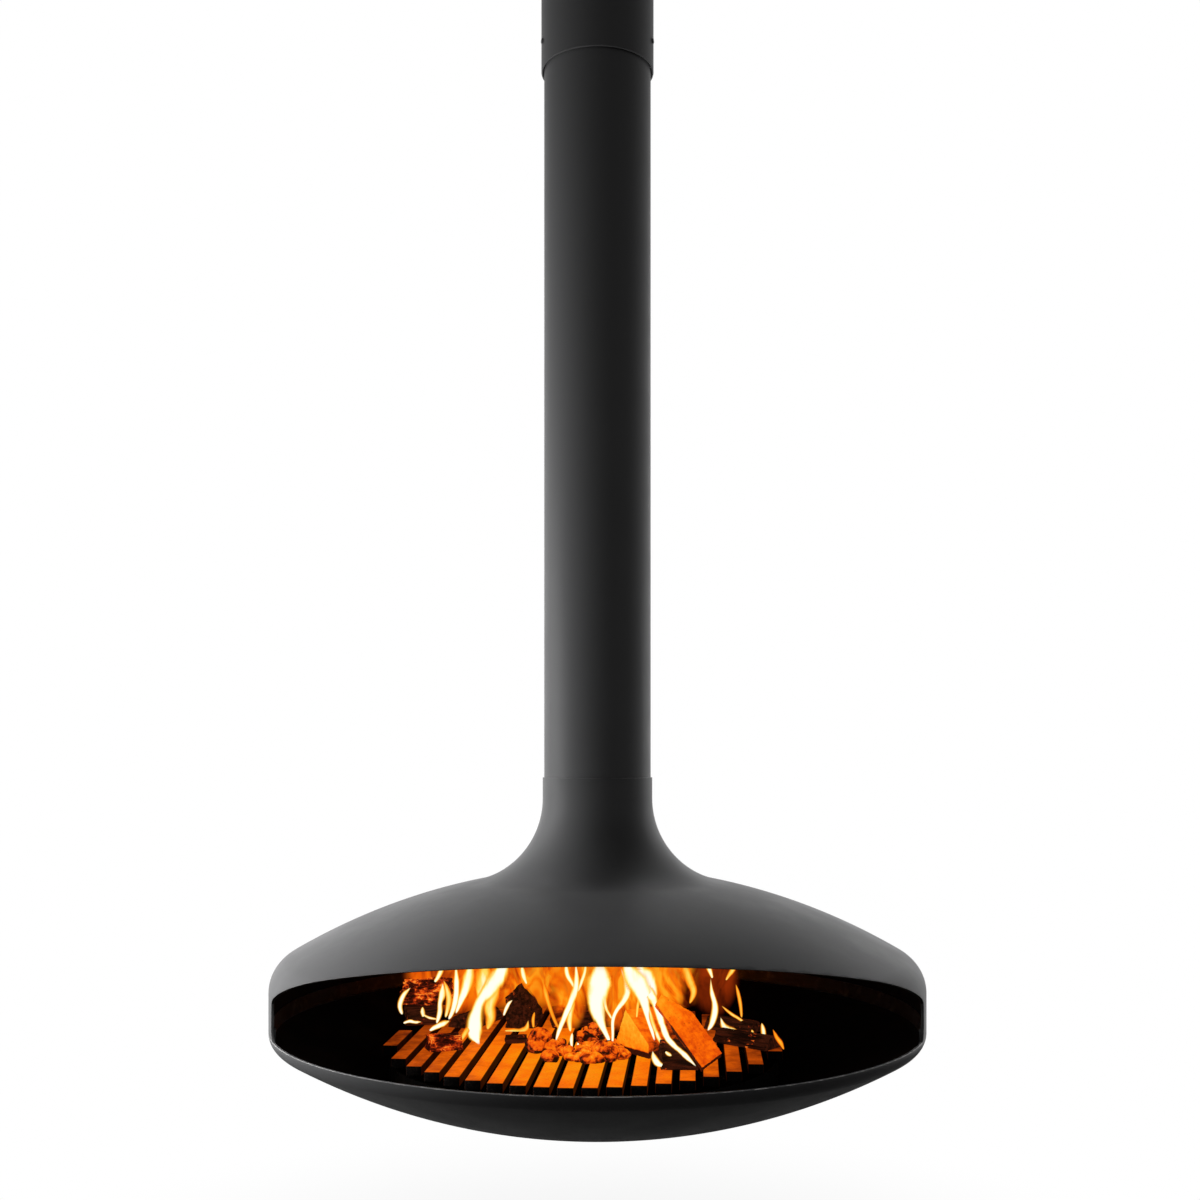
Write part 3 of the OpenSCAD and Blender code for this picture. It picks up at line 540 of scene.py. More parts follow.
@dataclass(frozen=True)
class BurningWood:
    """Firewood in the fire: black char with embers in its cracks, crackled coal with painted shade, or a
    split face with the fire's light painted on it as a glow."""

    name: str
    burn: Burn
    laid: Point
    lit_face: Point
    # Height below which painted shade darkens the wood's foot, if any.
    shaded_below_z: float | None
    char: Rgb = (0.012, 0.007, 0.005)
    brown: Rgb = (0.060, 0.018, 0.007)
    grain: Lumps = Lumps(120, 6, 0.6, 0.6, (0.16, 1.0, 1.0))
    check_scale: float = 105
    check_stretch: Point = (0.45, 1.0, 1.0)
    spots: Lumps = Lumps(34, 5, 0.65)
    coals: Lumps = Lumps(33, 5, 0.58, 0.3)
    crust: Lumps = Lumps(150, 4, 0.6)
    coal_lit_from: Point = (-0.3, -0.5, 0.812)
    mottling: Lumps = Lumps(60, 6, 0.66)
    speckling: Lumps = Lumps(150, 4, 0.7)
    flames_at: Point = (0.070, -0.130, -2.115)
    flames_reach: Point = (0.135, 0.20, 0.135)
    # How soft the edge of that painted shade is.
    shade_soft: float = 0.002
    char_glow: Stops = (
        (0.0, (0.006, 0.002, 0.001)), (0.16, (0.050, 0.010, 0.004)), (0.5, (0.42, 0.030, 0.004)),
        (1.0, (1.0, 0.26, 0.02)),
    )
    coal_glow: Stops = (
        (0.0, (0.010, 0.002, 0.001)), (0.36, (0.085, 0.007, 0.002)), (0.58, (0.44, 0.032, 0.004)),
        (0.80, (0.95, 0.120, 0.006)), (1.0, (1.0, 0.42, 0.05)),
    )
    # Colours of the fire's light painted on a split face.
    split_firelight: Stops = (
        (0.0, (0.030, 0.005, 0.002)), (0.24, (0.72, 0.070, 0.002)), (0.44, (1.0, 0.150, 0.002)),
        (0.70, (1.0, 0.290, 0.006)), (1.0, (1.0, 0.470, 0.025)),
    )

    def make(self) -> Material:
        """Builds the material."""
        recipe = Recipe(self.name)
        grain = recipe.cloud(self.grain, self.laid)
        grown = recipe.warped(recipe.stretched(self.check_stretch, self.laid), scale=60, push=0.012)
        checks = recipe.cracks(self.check_scale, grown)
        glows = {
            Burn.CHARRED: self.charred, Burn.SMOULDERING: self.smouldering, Burn.BLAZING_FIRELIT: self.blazing_firelit,
        }
        glow, strength = glows[self.burn](recipe, grain, checks)
        recipe.surface(
            Base_Color=recipe.blend(recipe.ranged(grain, 0.35, 0.7), self.char, self.brown),
            Roughness=recipe.varied(grain, 0.95, 0.82),
            Specular_IOR_Level=0.04,
            Emission_Color=glow,
            Emission_Strength=strength,
        )
        relief = recipe.total(recipe.product(grain, 0.6), recipe.ranged(checks, 0.0, 0.12, 0.0, 0.4))
        recipe.bump(relief, depth=0.0016, strength=0.8)
        return recipe.material

    def charred(self, recipe: Recipe, grain: Socket, checks: Socket) -> tuple[Source, Source]:
        """Black-brown char that glows in a few cracks.

        Args:
            recipe: The finish in hand.
            grain: The wood's grain.
            checks: Its cracks, 0 in a crack.

        Returns:
            Colour and strength of the glow.
        """
        spots = recipe.ranged(recipe.cloud(self.spots), 0.57, 0.70)
        seams = recipe.ranged(checks, 0.0, 0.10, 1.0, 0.0)
        warm = recipe.ranged(grain, 0.35, 0.75, 0.0, 0.16)
        return recipe.steps(recipe.total(recipe.product(seams, spots), warm), self.char_glow), 1.0

    def smouldering(self, recipe: Recipe, grain: Socket, checks: Socket) -> tuple[Source, Source]:
        """Crackled coal: red-orange lumps with dark crusts and glowing seams, and painted shade on faces
        turned away from the light.

        Args:
            recipe: The finish in hand.
            grain: The wood's grain, which has burnt away; not used.
            checks: Its cracks, 0 in a crack.

        Returns:
            Colour and strength of the glow.
        """
        lumps = recipe.ranged(recipe.cloud(self.coals), 0.36, 0.62)
        fine = recipe.varied(recipe.cloud(self.crust), -0.11, 0.11)
        seams = recipe.ranged(checks, 0.0, 0.07, 0.30, 0.0)
        # Painted shade: coal turned away from coal_lit_from glows less.
        shade = recipe.ranged(recipe.toward(self.coal_lit_from), 0.0, 0.9, -0.30, 0.04)
        glow_and_shade = recipe.total(recipe.product(lumps, 0.80), fine, seams, shade)
        return recipe.steps(glow_and_shade, self.coal_glow), 1.0

    def blazing_firelit(self, recipe: Recipe, grain: Socket, checks: Socket) -> tuple[Source, Source]:
        """A split face with the fire's light painted on it as a glow, yellow-orange near the flames and
        red-orange away from them, with painted shade where it faces away and along its foot.

        Args:
            recipe: The finish in hand.
            grain: The wood's grain.
            checks: Its cracks, which don't show in the glow; not used.

        Returns:
            Colour and strength of the glow.
        """
        # Painted firelight: the glow is strongest near the flames.
        near = recipe.product(recipe.nearness(self.flames_at, self.flames_reach), 0.70)
        mottle = recipe.ranged(recipe.cloud(self.mottling), 0.32, 0.68, -0.14, 0.14)
        lines = recipe.varied(grain, -0.05, 0.05)
        # Painted shade: faces turned away from the lit face's direction glow less.
        faced = recipe.ranged(recipe.toward(self.lit_face), 0.35, 0.80, -0.42, 0.0)
        glow_and_shade = recipe.total(near, faced, mottle, lines, 0.34)
        # Painted shade: a dark band along the foot, as in the shadowed gap under the log.
        if self.shaded_below_z is not None:
            height = recipe.parts(recipe.place)[2]
            foot = (self.shaded_below_z - self.shade_soft, self.shaded_below_z + self.shade_soft)
            glow_and_shade = recipe.total(glow_and_shade, recipe.ranged(height, *foot, -0.7, 0.0))
        specks = recipe.ranged(recipe.cloud(self.speckling), 0.28, 0.38, 0.50, 1.0)
        return recipe.steps(glow_and_shade, self.split_firelight), specks


@dataclass(frozen=True)
class LiveCoal:
    """Embers: orange where they burn, with grey-black crusts, and painted shade on faces that turn away
    from the front and up.
    """

    name: str = "live_coal"
    crust: Rgb = (0.016, 0.011, 0.009)
    ash: Rgb = (0.040, 0.032, 0.027)
    glow: Stops = (
        (0.0, (0.012, 0.003, 0.001)), (0.20, (0.26, 0.018, 0.002)), (0.46, (0.90, 0.105, 0.003)),
        (0.76, (1.0, 0.230, 0.004)), (1.0, (1.0, 0.420, 0.030)),
    )
    hottest: Point = (-0.010, -0.150, -2.200)
    reach: Point = (0.130, 0.105, 0.045)
    lit_from: Point = (0.0, -0.5, 0.866)
    lumps: Lumps = Lumps(44, 4, 0.55, 0.2)
    fine: Lumps = Lumps(170, 4, 0.6)

    def make(self) -> Material:
        """Builds the material."""
        recipe = Recipe(self.name)
        fine = recipe.cloud(self.fine)
        glow_and_shade = recipe.total(
            recipe.ranged(recipe.cloud(self.lumps), 0.34, 0.60, 0.0, 0.62),
            recipe.ranged(fine, 0.35, 0.7, -0.14, 0.12),
            recipe.product(recipe.nearness(self.hottest, self.reach), 0.38),
            # Painted shade: coal turned away from lit_from glows less.
            recipe.ranged(recipe.toward(self.lit_from), 0.1, 0.9, -0.42, 0.0),
        )
        recipe.surface(
            Base_Color=recipe.blend(recipe.ranged(fine, 0.45, 0.7), self.crust, self.ash),
            Roughness=recipe.varied(fine, 0.95, 0.85),
            Specular_IOR_Level=0.04,
            Emission_Color=recipe.steps(glow_and_shade, self.glow),
            Emission_Strength=1.0,
        )
        recipe.bump(fine, depth=0.0009, strength=0.7)
        return recipe.material


@dataclass(frozen=True)
class FlameLight:
    """Flame: white-yellow at the core, orange outwards, clear at the rim.

    It reads the piece's own UV map, across and along each tongue, and its attribute warmth.
    """

    name: str = "flame"
    colours: Stops = (
        (0.0, (0.80, 0.070, 0.002)),
        (0.22, (1.0, 0.190, 0.003)),
        (0.42, (1.0, 0.400, 0.018)),
        (0.60, (1.0, 0.700, 0.120)),
        (0.78, (1.0, 0.940, 0.560)),
        (1.0, (1.0, 1.0, 0.860)),
    )
    strength: float = 1.05
    licking: Lumps = Lumps(46, 4, 0.55, 0.8, (1.0, 1.0, 0.24))

    def make(self) -> Material:
        """Builds the material."""
        recipe = Recipe(self.name)
        off_middle, along, warmth = recipe.lens_place()
        core = recipe.ranged(off_middle, 0.05, 0.48, 1.0, 0.0)
        ragged = recipe.total(core, recipe.varied(recipe.cloud(self.licking), -0.17, 0.17))
        root = recipe.ranged(along, 0.0, 0.07)
        tip = recipe.ranged(along, 0.84, 1.0, 1.0, 0.0)
        shown = recipe.product(recipe.ranged(ragged, 0.04, 0.74), recipe.ranged(core, 0.0, 0.10), root, tip)
        heat = recipe.product(ragged, warmth, recipe.ranged(along, 0.45, 1.0, 1.0, 0.78))
        recipe.glow_through(shown, recipe.steps(heat, self.colours), self.strength)
        return recipe.material


@dataclass(frozen=True)
class FlameHaze:
    """Thin flame between the tongues: wisps that rise from dull red to orange.

    It reads the same UV map and attribute as the flame.
    """

    name: str = "flame_haze"
    colours: Stops = (
        (0.0, (0.060, 0.006, 0.001)),
        (0.25, (0.32, 0.030, 0.002)),
        (0.50, (0.85, 0.110, 0.002)),
        (0.75, (1.0, 0.220, 0.003)),
        (1.0, (1.0, 0.400, 0.015)),
    )
    thinnest: float = 0.45
    thickest: float = 0.92
    wisps: Lumps = Lumps(19, 3, 0.48, 1.7, (1.0, 1.0, 0.55))
    streaks: Lumps = Lumps(58, 3, 0.5, 1.2, (1.0, 1.0, 0.22))

    def make(self) -> Material:
        """Builds the material."""
        recipe = Recipe(self.name)
        off_middle, along, warmth = recipe.lens_place()
        wisps = recipe.ranged(recipe.cloud(self.wisps), 0.34, 0.66, 0.0, 0.74)
        mottle = recipe.total(wisps, recipe.ranged(recipe.cloud(self.streaks), 0.35, 0.68, -0.04, 0.08))
        heat = recipe.product(recipe.total(mottle, recipe.ranged(along, 0.08, 0.60, -0.06, 0.26)), warmth)
        shown = recipe.product(
            recipe.ranged(off_middle, 0.16, 0.5, 1.0, 0.0),
            recipe.ranged(along, 0.0, 0.30),
            recipe.ranged(along, 0.86, 1.0, 1.0, 0.0),
            recipe.ranged(mottle, -0.05, 0.45, self.thinnest, self.thickest),
        )
        recipe.glow_through(shown, recipe.steps(heat, self.colours), 1.0)
        return recipe.material


@dataclass(frozen=True)
class StudioWhite:
    """Floor: white to the camera, but for a painted shadow: a grey round the middle that lets the real
    shadow show and fades out round it.

    A mirroring surface sees it dark below the part and white further out.
    """

    name: str = "studio_floor"
    colour: Rgb = (0.055, 0.055, 0.055)
    fleck: Rgb = (0.065, 0.065, 0.065)
    flecks: Lumps = Lumps(6, 3)
    shadow: float = 0.18
    faded_at: float = 1.5
    own_gloss: float = 1.0
    gloss_faded_at: float = 3.6
    level: float = -2.76

    def make(self) -> Material:
        """Builds the material."""
        recipe = Recipe(self.name)
        flecks = recipe.varied(recipe.cloud(self.flecks), 0.0, 1.0)
        recipe.surface(
            Base_Color=recipe.blend(flecks, self.colour, self.fleck),
            Roughness=0.9,
            Specular_IOR_Level=0.1,
        )
        camera, mirrored = recipe.rays()
        middle = (0.0, 0.0, self.level)
        # Painted shadow: a grey share round the middle, which also lets the real shadow show.
        grey = recipe.product(recipe.nearness(middle, (self.faded_at,) * 3), self.shadow)
        below = recipe.nearness(middle, (self.gloss_faded_at,) * 3)
        dark = recipe.ranged(below, 0.0, 0.45, 0.0, self.own_gloss)
        straight = recipe.product(camera, recipe.maths("SUBTRACT", 1.0, grey))
        bounced = recipe.product(mirrored, recipe.maths("SUBTRACT", 1.0, dark))
        white = recipe.node("Emission", Color=WHITE).outputs["Emission"]
        share = recipe.maths("MAXIMUM", straight, bounced)
        mix = recipe.node("MixShader", share, recipe.shader.outputs["BSDF"], white)
        recipe.feed(recipe.output.inputs["Surface"], mix.outputs["Shader"])
        return recipe.material


# ---- Mesh helpers ----


class Body(Enum):
    """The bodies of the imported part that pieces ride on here."""

    HEARTH = "hearth"
    GRATE = "grate"


def cad(node: str) -> Object:
    """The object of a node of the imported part."""
    return bpy.data.objects[node]


def dress(nodes: Iterable[str], finish: Material) -> None:
    """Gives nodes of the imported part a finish.

    Args:
        nodes: The nodes' names.
        finish: Their material.
    """
    for node in nodes:
        for slot in cad(node).material_slots:
            slot.material = finish
        LOG.info("dressed %s in %s", node, finish.name)


def as_object(name: str, bm: BMesh, *finishes: Material) -> Object:
    """Turns a bmesh into an object of the scene.

    Args:
        name: The object's name.
        bm: Its shape, in the part's frame. It is freed.
        finishes: The materials of its faces.

    Returns:
        The object.
    """
    mesh = bpy.data.meshes.new(name)
    bm.to_mesh(mesh)
    bm.free()
    for finish in finishes:
        mesh.materials.append(finish)
    made = bpy.data.objects.new(name, mesh)
    bpy.context.scene.collection.objects.link(made)
    return made


def piece(name: str, bm: BMesh, body: Body, *finishes: Material) -> Object:
    """Turns a bmesh into a finished piece that rides on a body.

    Args:
        name: The piece's name.
        bm: Its shape, in the part's frame. It is freed.
        body: What it moves with.
        finishes: The materials of its faces.

    Returns:
        The piece.
    """
    made = as_object(name, bm, *finishes)
    made.data.shade_smooth()
    made.data.set_sharp_from_angle(angle=SMOOTH_ANGLE)
    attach(made, body.value)
    LOG.info("built %s: %d faces", name, len(made.data.polygons))
    return made


def merged_copy(node: str) -> BMesh:
    """A copy of a node's mesh with its loose triangles joined."""
    bm = bmesh.new()
    bm.from_mesh(cad(node).data)
    bmesh.ops.remove_doubles(bm, verts=bm.verts, dist=MERGE)
    bmesh.ops.dissolve_limit(bm, angle_limit=FLAT_ANGLE, verts=bm.verts, edges=bm.edges)
    return bm


def ease_edges(bm: BMesh, width: float, sharp: float) -> list[BMFace]:
    """Rounds the sharp edges of a mesh.

    Args:
        bm: The mesh.
        width: How far the rounding reaches from the edge.
        sharp: Smallest angle of an edge that is rounded, in degrees.

    Returns:
        The faces of the rounding.
    """
    edges = [e for e in bm.edges if e.is_manifold and e.calc_face_angle(0.0) > math.radians(sharp)]
    made = bmesh.ops.bevel(
        bm, geom=edges, offset=width, offset_type="OFFSET", segments=2, profile=0.5,
        affect="EDGES", material=-1, clamp_overlap=True,
    )
    return made["faces"]


def arc(centre: Flat, radius: float, start: float, end: float, steps: int) -> list[Flat]:
    """Points of an arc.

    Args:
        centre: Its middle.
        radius: Its radius.
        start: Direction of its first point, in degrees.
        end: Direction of its last point, in degrees.
        steps: Number of stretches.

    Returns:
        The points, ends included.
    """
    turns = [math.radians(start + (end - start) * i / steps) for i in range(steps + 1)]
    return [(centre[0] + radius * math.cos(t), centre[1] + radius * math.sin(t)) for t in turns]


def spun(section: Sequence[Flat], steps: int = 240) -> BMesh:
    """Spins a closed section of radii and heights about the flue's axis.

    Args:
        section: Its corners, in order. Corners on the axis close into poles.
        steps: Number of stretches round the axis.

    Returns:
        The closed shell.
    """
    bm = bmesh.new()
    ring = [bm.verts.new((r, 0.0, z)) for r, z in section]
    edges = [bm.edges.new((ring[i], ring[i - 1])) for i in range(len(ring))]
    on_axis = [e for e in edges if all(abs(v.co.x) < MERGE for v in e.verts)]
    for edge in on_axis:
        bm.edges.remove(edge)
        edges.remove(edge)
    bmesh.ops.spin(
        bm, geom=ring + edges, cent=(0, 0, 0), axis=(0, 0, 1), dvec=(0, 0, 0),
        angle=math.tau, steps=steps, use_merge=True, use_duplicate=False,
    )
    bmesh.ops.remove_doubles(bm, verts=bm.verts, dist=MERGE)
    bmesh.ops.recalc_face_normals(bm, faces=bm.faces)
    return bm


def as_seen(*objects: Object) -> BMesh:
    """The first object's mesh with its modifiers applied. All the objects are removed."""
    seen = bmesh.new()
    seen.from_object(objects[0], bpy.context.evaluated_depsgraph_get())
    for used in objects:
        bpy.data.objects.remove(used)
    return seen


def drilled(name: str, bm: BMesh, tool: BMesh, joint: float) -> BMesh:
    """Cuts one closed mesh out of another.

    Args:
        name: A name for the work in hand.
        bm: What is cut. It is freed.
        tool: What is taken away. It is freed.
        joint: Corners this near to each other are merged after the cut.

    Returns:
        What is left.
    """
    blank = as_object(name, bm)
    cutter = as_object(f"{name}_tool", tool)
    cut = blank.modifiers.new("cut", "BOOLEAN")
    cut.operation = "DIFFERENCE"
    cut.solver = "EXACT"
    cut.object = cutter
    left = as_seen(blank, cutter)
    bmesh.ops.remove_doubles(left, verts=left.verts, dist=joint)
    bmesh.ops.dissolve_degenerate(left, edges=left.edges, dist=joint)
    return left


def remeshed(name: str, bm: BMesh, voxel: float) -> BMesh:
    """Gives a closed mesh even, small faces.

    Args:
        name: A name for the work in hand.
        bm: The mesh. It is freed.
        voxel: Size of the new faces.

    Returns:
        The new mesh.
    """
    lump = as_object(name, bm)
    change = lump.modifiers.new("remesh", "REMESH")
    change.mode = "VOXEL"
    change.voxel_size = voxel
    return as_seen(lump)


# ---- Ceiling fixing, bearing and flue ----


@dataclass
class Hanger:
    """Everything above the hearth: the ceiling fixing, the swivel bearing, the flue, its sleeve
    and the damper. Their CAD shapes are right and only take a finish."""

    painted: tuple[str, ...] = (
        "ceiling_rose", "rose_screws", "flue_tube", "cover_sleeve", "sleeve_screws",
    )
    scaled: tuple[str, ...] = (
        "ceiling_plate", "flue_spigot", "bearing_housing", "suspension_ring", "flue_foot_ring",
        "neck_ring", "seam_strip", "damper_collar", "damper_blade", "damper_lever",
    )
    plated: tuple[str, ...] = (
        "housing_bolts", "foot_bolts", "foot_nuts", "blade_screws", "grub_screws", "damper_axle",
        "axle_collar",
    )
    polished: tuple[str, ...] = ("lower_race", "upper_race", "bearing_balls")
    brass: tuple[str, ...] = ("cage_ring", "damper_bushes")
    woven: tuple[str, ...] = ("flue_seal", "flange_gasket")

    def build(self, paint: Material, steel: Material) -> None:
        """Dresses the nodes.

        Args:
            paint: The black paint.
            steel: The steel with its mill scale.
        """
        dress(self.painted, paint)
        dress(self.scaled, steel)
        dress(self.plated, ZINC_PLATE.make())
        dress(self.polished, BEARING_STEEL.make())
        dress(self.brass, BUSH_BRASS.make())
        dress(self.woven, FibreSeal().make())


# ---- Hearth shell ----


@dataclass
class Shell:
    """The spun hood with its mouth, and the bowl under it.

    The mouth's upper edge runs in a bow from its front to its end, each given by its distance in
    front of the axis and its height above the rim.
    """

    rim_z: float = -2.164
    body_r: float = 0.6255
    wall: float = 0.005
    crown_r: float = 1.180
    crown_rise: float = 0.2922
    shoulder_r: float = 0.070
    flare_r: float = 0.165
    neck_r: float = 0.10695
    neck_rise: float = 0.470
    socket_r: float = 0.10415
    socket_drop: float = 0.038
    dish_r: float = 1.175
    knuckle_r: float = 0.031
    mouth_front: Flat = (0.508, 0.1785)
    mouth_end: Flat = (0.217, 0.070)
    mouth_bow: float = 0.006
    mouth_top_r: float = 0.028
    mouth_foot_r: float = 0.020
    mouth_foot_turn: float = -76
    mouth_foot_sunk: float = 0.0006
    below_rim: float = 0.001
    past_front: float = 0.04
    past_sides: float = 0.1
    past_flare: float = 0.1
    rim_band: float = 0.002
    joint: float = 0.0002
    eased: float = 0.0011
    sharp: float = 35

    def __post_init__(self) -> None:
        """Works out where the arcs of the body's outline have their centres."""
        self.crown_z = self.rim_z + self.crown_rise - self.crown_r
        self.shoulder_x = self.body_r - self.shoulder_r
        reach = self.crown_r - self.shoulder_r
        self.shoulder_z = self.crown_z + math.sqrt(reach**2 - self.shoulder_x**2)
        self.flare_x = self.neck_r + self.flare_r
        reach = self.crown_r + self.flare_r
        self.flare_z = self.crown_z + math.sqrt(reach**2 - self.flare_x**2)
        self.flare_turn = math.degrees(math.atan2(self.flare_z - self.crown_z, self.flare_x))
        self.shoulder_turn = math.degrees(math.atan2(self.shoulder_z - self.crown_z, self.shoulder_x))
        self.knuckle_x = self.body_r - self.knuckle_r
        reach = self.dish_r - self.knuckle_r
        self.dish_z = self.rim_z + math.sqrt(reach**2 - self.knuckle_x**2)
        self.dish_turn = math.degrees(math.atan2(self.rim_z - self.dish_z, self.knuckle_x))

    def hood_skin(self, inset: float) -> list[Flat]:
        """One skin of the hood from the flare down to the rim.

        Args:
            inset: Distance inward from the outer skin.

        Returns:
            Its points.
        """
        flare = arc((self.flare_x, self.flare_z), self.flare_r + inset, 180, 180 + self.flare_turn, 30)
        crown = arc((0, self.crown_z), self.crown_r - inset, self.flare_turn, self.shoulder_turn, 28)
        turn = self.shoulder_turn
        shoulder = arc((self.shoulder_x, self.shoulder_z), self.shoulder_r - inset, turn, 0, 22)
        drop = self.rim_z - self.shoulder_z
        band = [(self.body_r - inset, self.shoulder_z + drop * i / 8) for i in range(1, 9)]
        return flare + crown[1:] + shoulder[1:] + band

    def hood_section(self) -> list[Flat]:
        """The hood's whole section, with the socket for the flue bored in its neck."""
        neck_z = self.rim_z + self.neck_rise
        socket_z = neck_z - self.socket_drop
        return [
            (self.socket_r, socket_z), (self.socket_r, neck_z), (self.neck_r, neck_z),
            *self.hood_skin(0.0), *reversed(self.hood_skin(self.wall)), (self.neck_r - self.wall, socket_z),
        ]

    def mouth_tool(self) -> BMesh:
        """The prism that cuts the mouth, drawn from the side and run through from left to right."""
        front = Vector((-self.mouth_front[0], self.rim_z + self.mouth_front[1]))
        end = Vector((-self.mouth_end[0], self.rim_z + self.mouth_end[1]))
        span = (end - front).length
        bow_r = ((span / 2) ** 2 + self.mouth_bow**2) / (2 * self.mouth_bow)
        ahead = (end - front) / span
        middle = (front + end) / 2 - Vector((-ahead.y, ahead.x)) * (bow_r - self.mouth_bow)
        corner_y = end.x - self.mouth_top_r
        inner_r = bow_r - self.mouth_top_r
        corner = Vector((corner_y, middle.y + math.sqrt(inner_r**2 - (corner_y - middle.x) ** 2)))
        corner_turn = math.degrees(math.atan2(corner.y - middle.y, corner.x - middle.x))
        outside = -self.body_r - self.past_front
        front_turn = math.degrees(math.acos((outside - middle.x) / bow_r))
        foot = (end.x - self.mouth_foot_r, self.rim_z + self.mouth_foot_r - self.mouth_foot_sunk)
        outline = [
            (outside, self.rim_z - self.below_rim),
            *arc(middle.to_tuple(), bow_r, front_turn, corner_turn, 40),
            *arc(corner.to_tuple(), self.mouth_top_r, corner_turn, 0, 12)[1:],
            *arc(foot, self.mouth_foot_r, 0, self.mouth_foot_turn, 10),
            (foot[0] - self.mouth_foot_r, self.rim_z - self.below_rim),
        ]
        bm = bmesh.new()
        side = bm.faces.new([bm.verts.new((-self.body_r - self.past_sides, y, z)) for y, z in outline])
        grown = bmesh.ops.extrude_face_region(bm, geom=[side])["geom"]
        moved = [g for g in grown if isinstance(g, bmesh.types.BMVert)]
        bmesh.ops.translate(bm, verts=moved, vec=(2 * (self.body_r + self.past_sides), 0, 0))
        bmesh.ops.recalc_face_normals(bm, faces=bm.faces)
        return bm

    def bowl_section(self) -> list[Flat]:
        """The bowl's whole section, from the rim's outer corner down and back up inside."""
        skins = []
        for inset in (0.0, self.wall):
            knuckle = arc((self.knuckle_x, self.rim_z), self.knuckle_r - inset, 0, self.dish_turn, 14)
            dish = arc((0, self.dish_z), self.dish_r - inset, self.dish_turn, -90, 44)
            skins.append(knuckle + dish[1:])
        return [*skins[0], *reversed(skins[1])]

    def inside_hood(self, face: BMFace) -> bool:
        """Whether a face of the hood looks into the firebox or the neck."""
        middle = face.calc_center_median()
        reach = math.hypot(middle.x, middle.y)
        outward = face.normal.dot(Vector((middle.x, middle.y, 0.0))) / max(reach, MERGE)
        if middle.z > self.shoulder_z and reach < self.flare_x + self.past_flare:
            return face.normal.z < 0.02 and outward < 0.0
        return outward + face.normal.z < -0.2

    def inside_bowl(self, face: BMFace) -> bool:
        """Whether a face of the bowl looks up, below its rim."""
        return face.normal.z > 0.05 and face.calc_center_median().z < self.rim_z - self.rim_band

    def round_and_part(self, bm: BMesh, inside: Callable[[BMFace], bool]) -> None:
        """Rounds a shell's edges and marks which of its faces are paint, soot and worn edge with a painted
        highlight.

        Args:
            bm: The shell.
            inside: Says whether a face is on the inner side.
        """
        rounding = ease_edges(bm, self.eased, self.sharp)
        for face in bm.faces:
            face.material_index = 1 if inside(face) else 0
        for face in rounding:
            face.material_index = 2

    def build(self, paint: Material, soot: Material, edge: Material) -> None:
        """Builds the hood and the bowl in place of their CAD nodes.

        Args:
            paint: Finish of the outside.
            soot: Finish of the inside.
            edge: Finish of the rounded edges, worn and with a painted highlight.
        """
        hood = drilled("hood_blank", spun(self.hood_section()), self.mouth_tool(), self.joint)
        self.round_and_part(hood, self.inside_hood)
        shown = piece("hood_shell", hood, Body.HEARTH, paint, soot, edge)
        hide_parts("hood")

        bowl = spun(self.bowl_section())
        self.round_and_part(bowl, self.inside_bowl)
        shown = piece("bowl_shell", bowl, Body.HEARTH, paint, soot, edge)
        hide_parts("bowl")


# ---- Grate and ash pan ----


@dataclass
class Grate:
    """The bars, what carries them, and the ash pan under them."""

    eased: float = 0.0016
    sharp: float = 40

    def build(self, glow_and_shade: Material, cold: Material) -> None:
        """Builds the bars with rounded edges and dresses the rest.

        Args:
            glow_and_shade: Finish of the bars in the fire.
            cold: Finish of what lies below them.
        """
        bars = merged_copy("grate_bars")
        ease_edges(bars, self.eased, self.sharp)
        # The bars' finish has the fire's light painted on their upper faces.
        shown = piece("fire_bars", bars, Body.GRATE, glow_and_shade)
        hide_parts("grate_bars")
        dress(("cross_bars", "grate_stand", "ash_pan", "pan_grips"), cold)


# ---- Firewood ----


@dataclass(frozen=True)
class Split:
    """A flat split through a log: what lies beyond it, in its direction, is gone."""

    point: Point
    away: Point


def scaled(place: Vector, size: Point) -> Vector:
    """A place stretched along each axis."""
    return Vector([p * s for p, s in zip(place, size)])


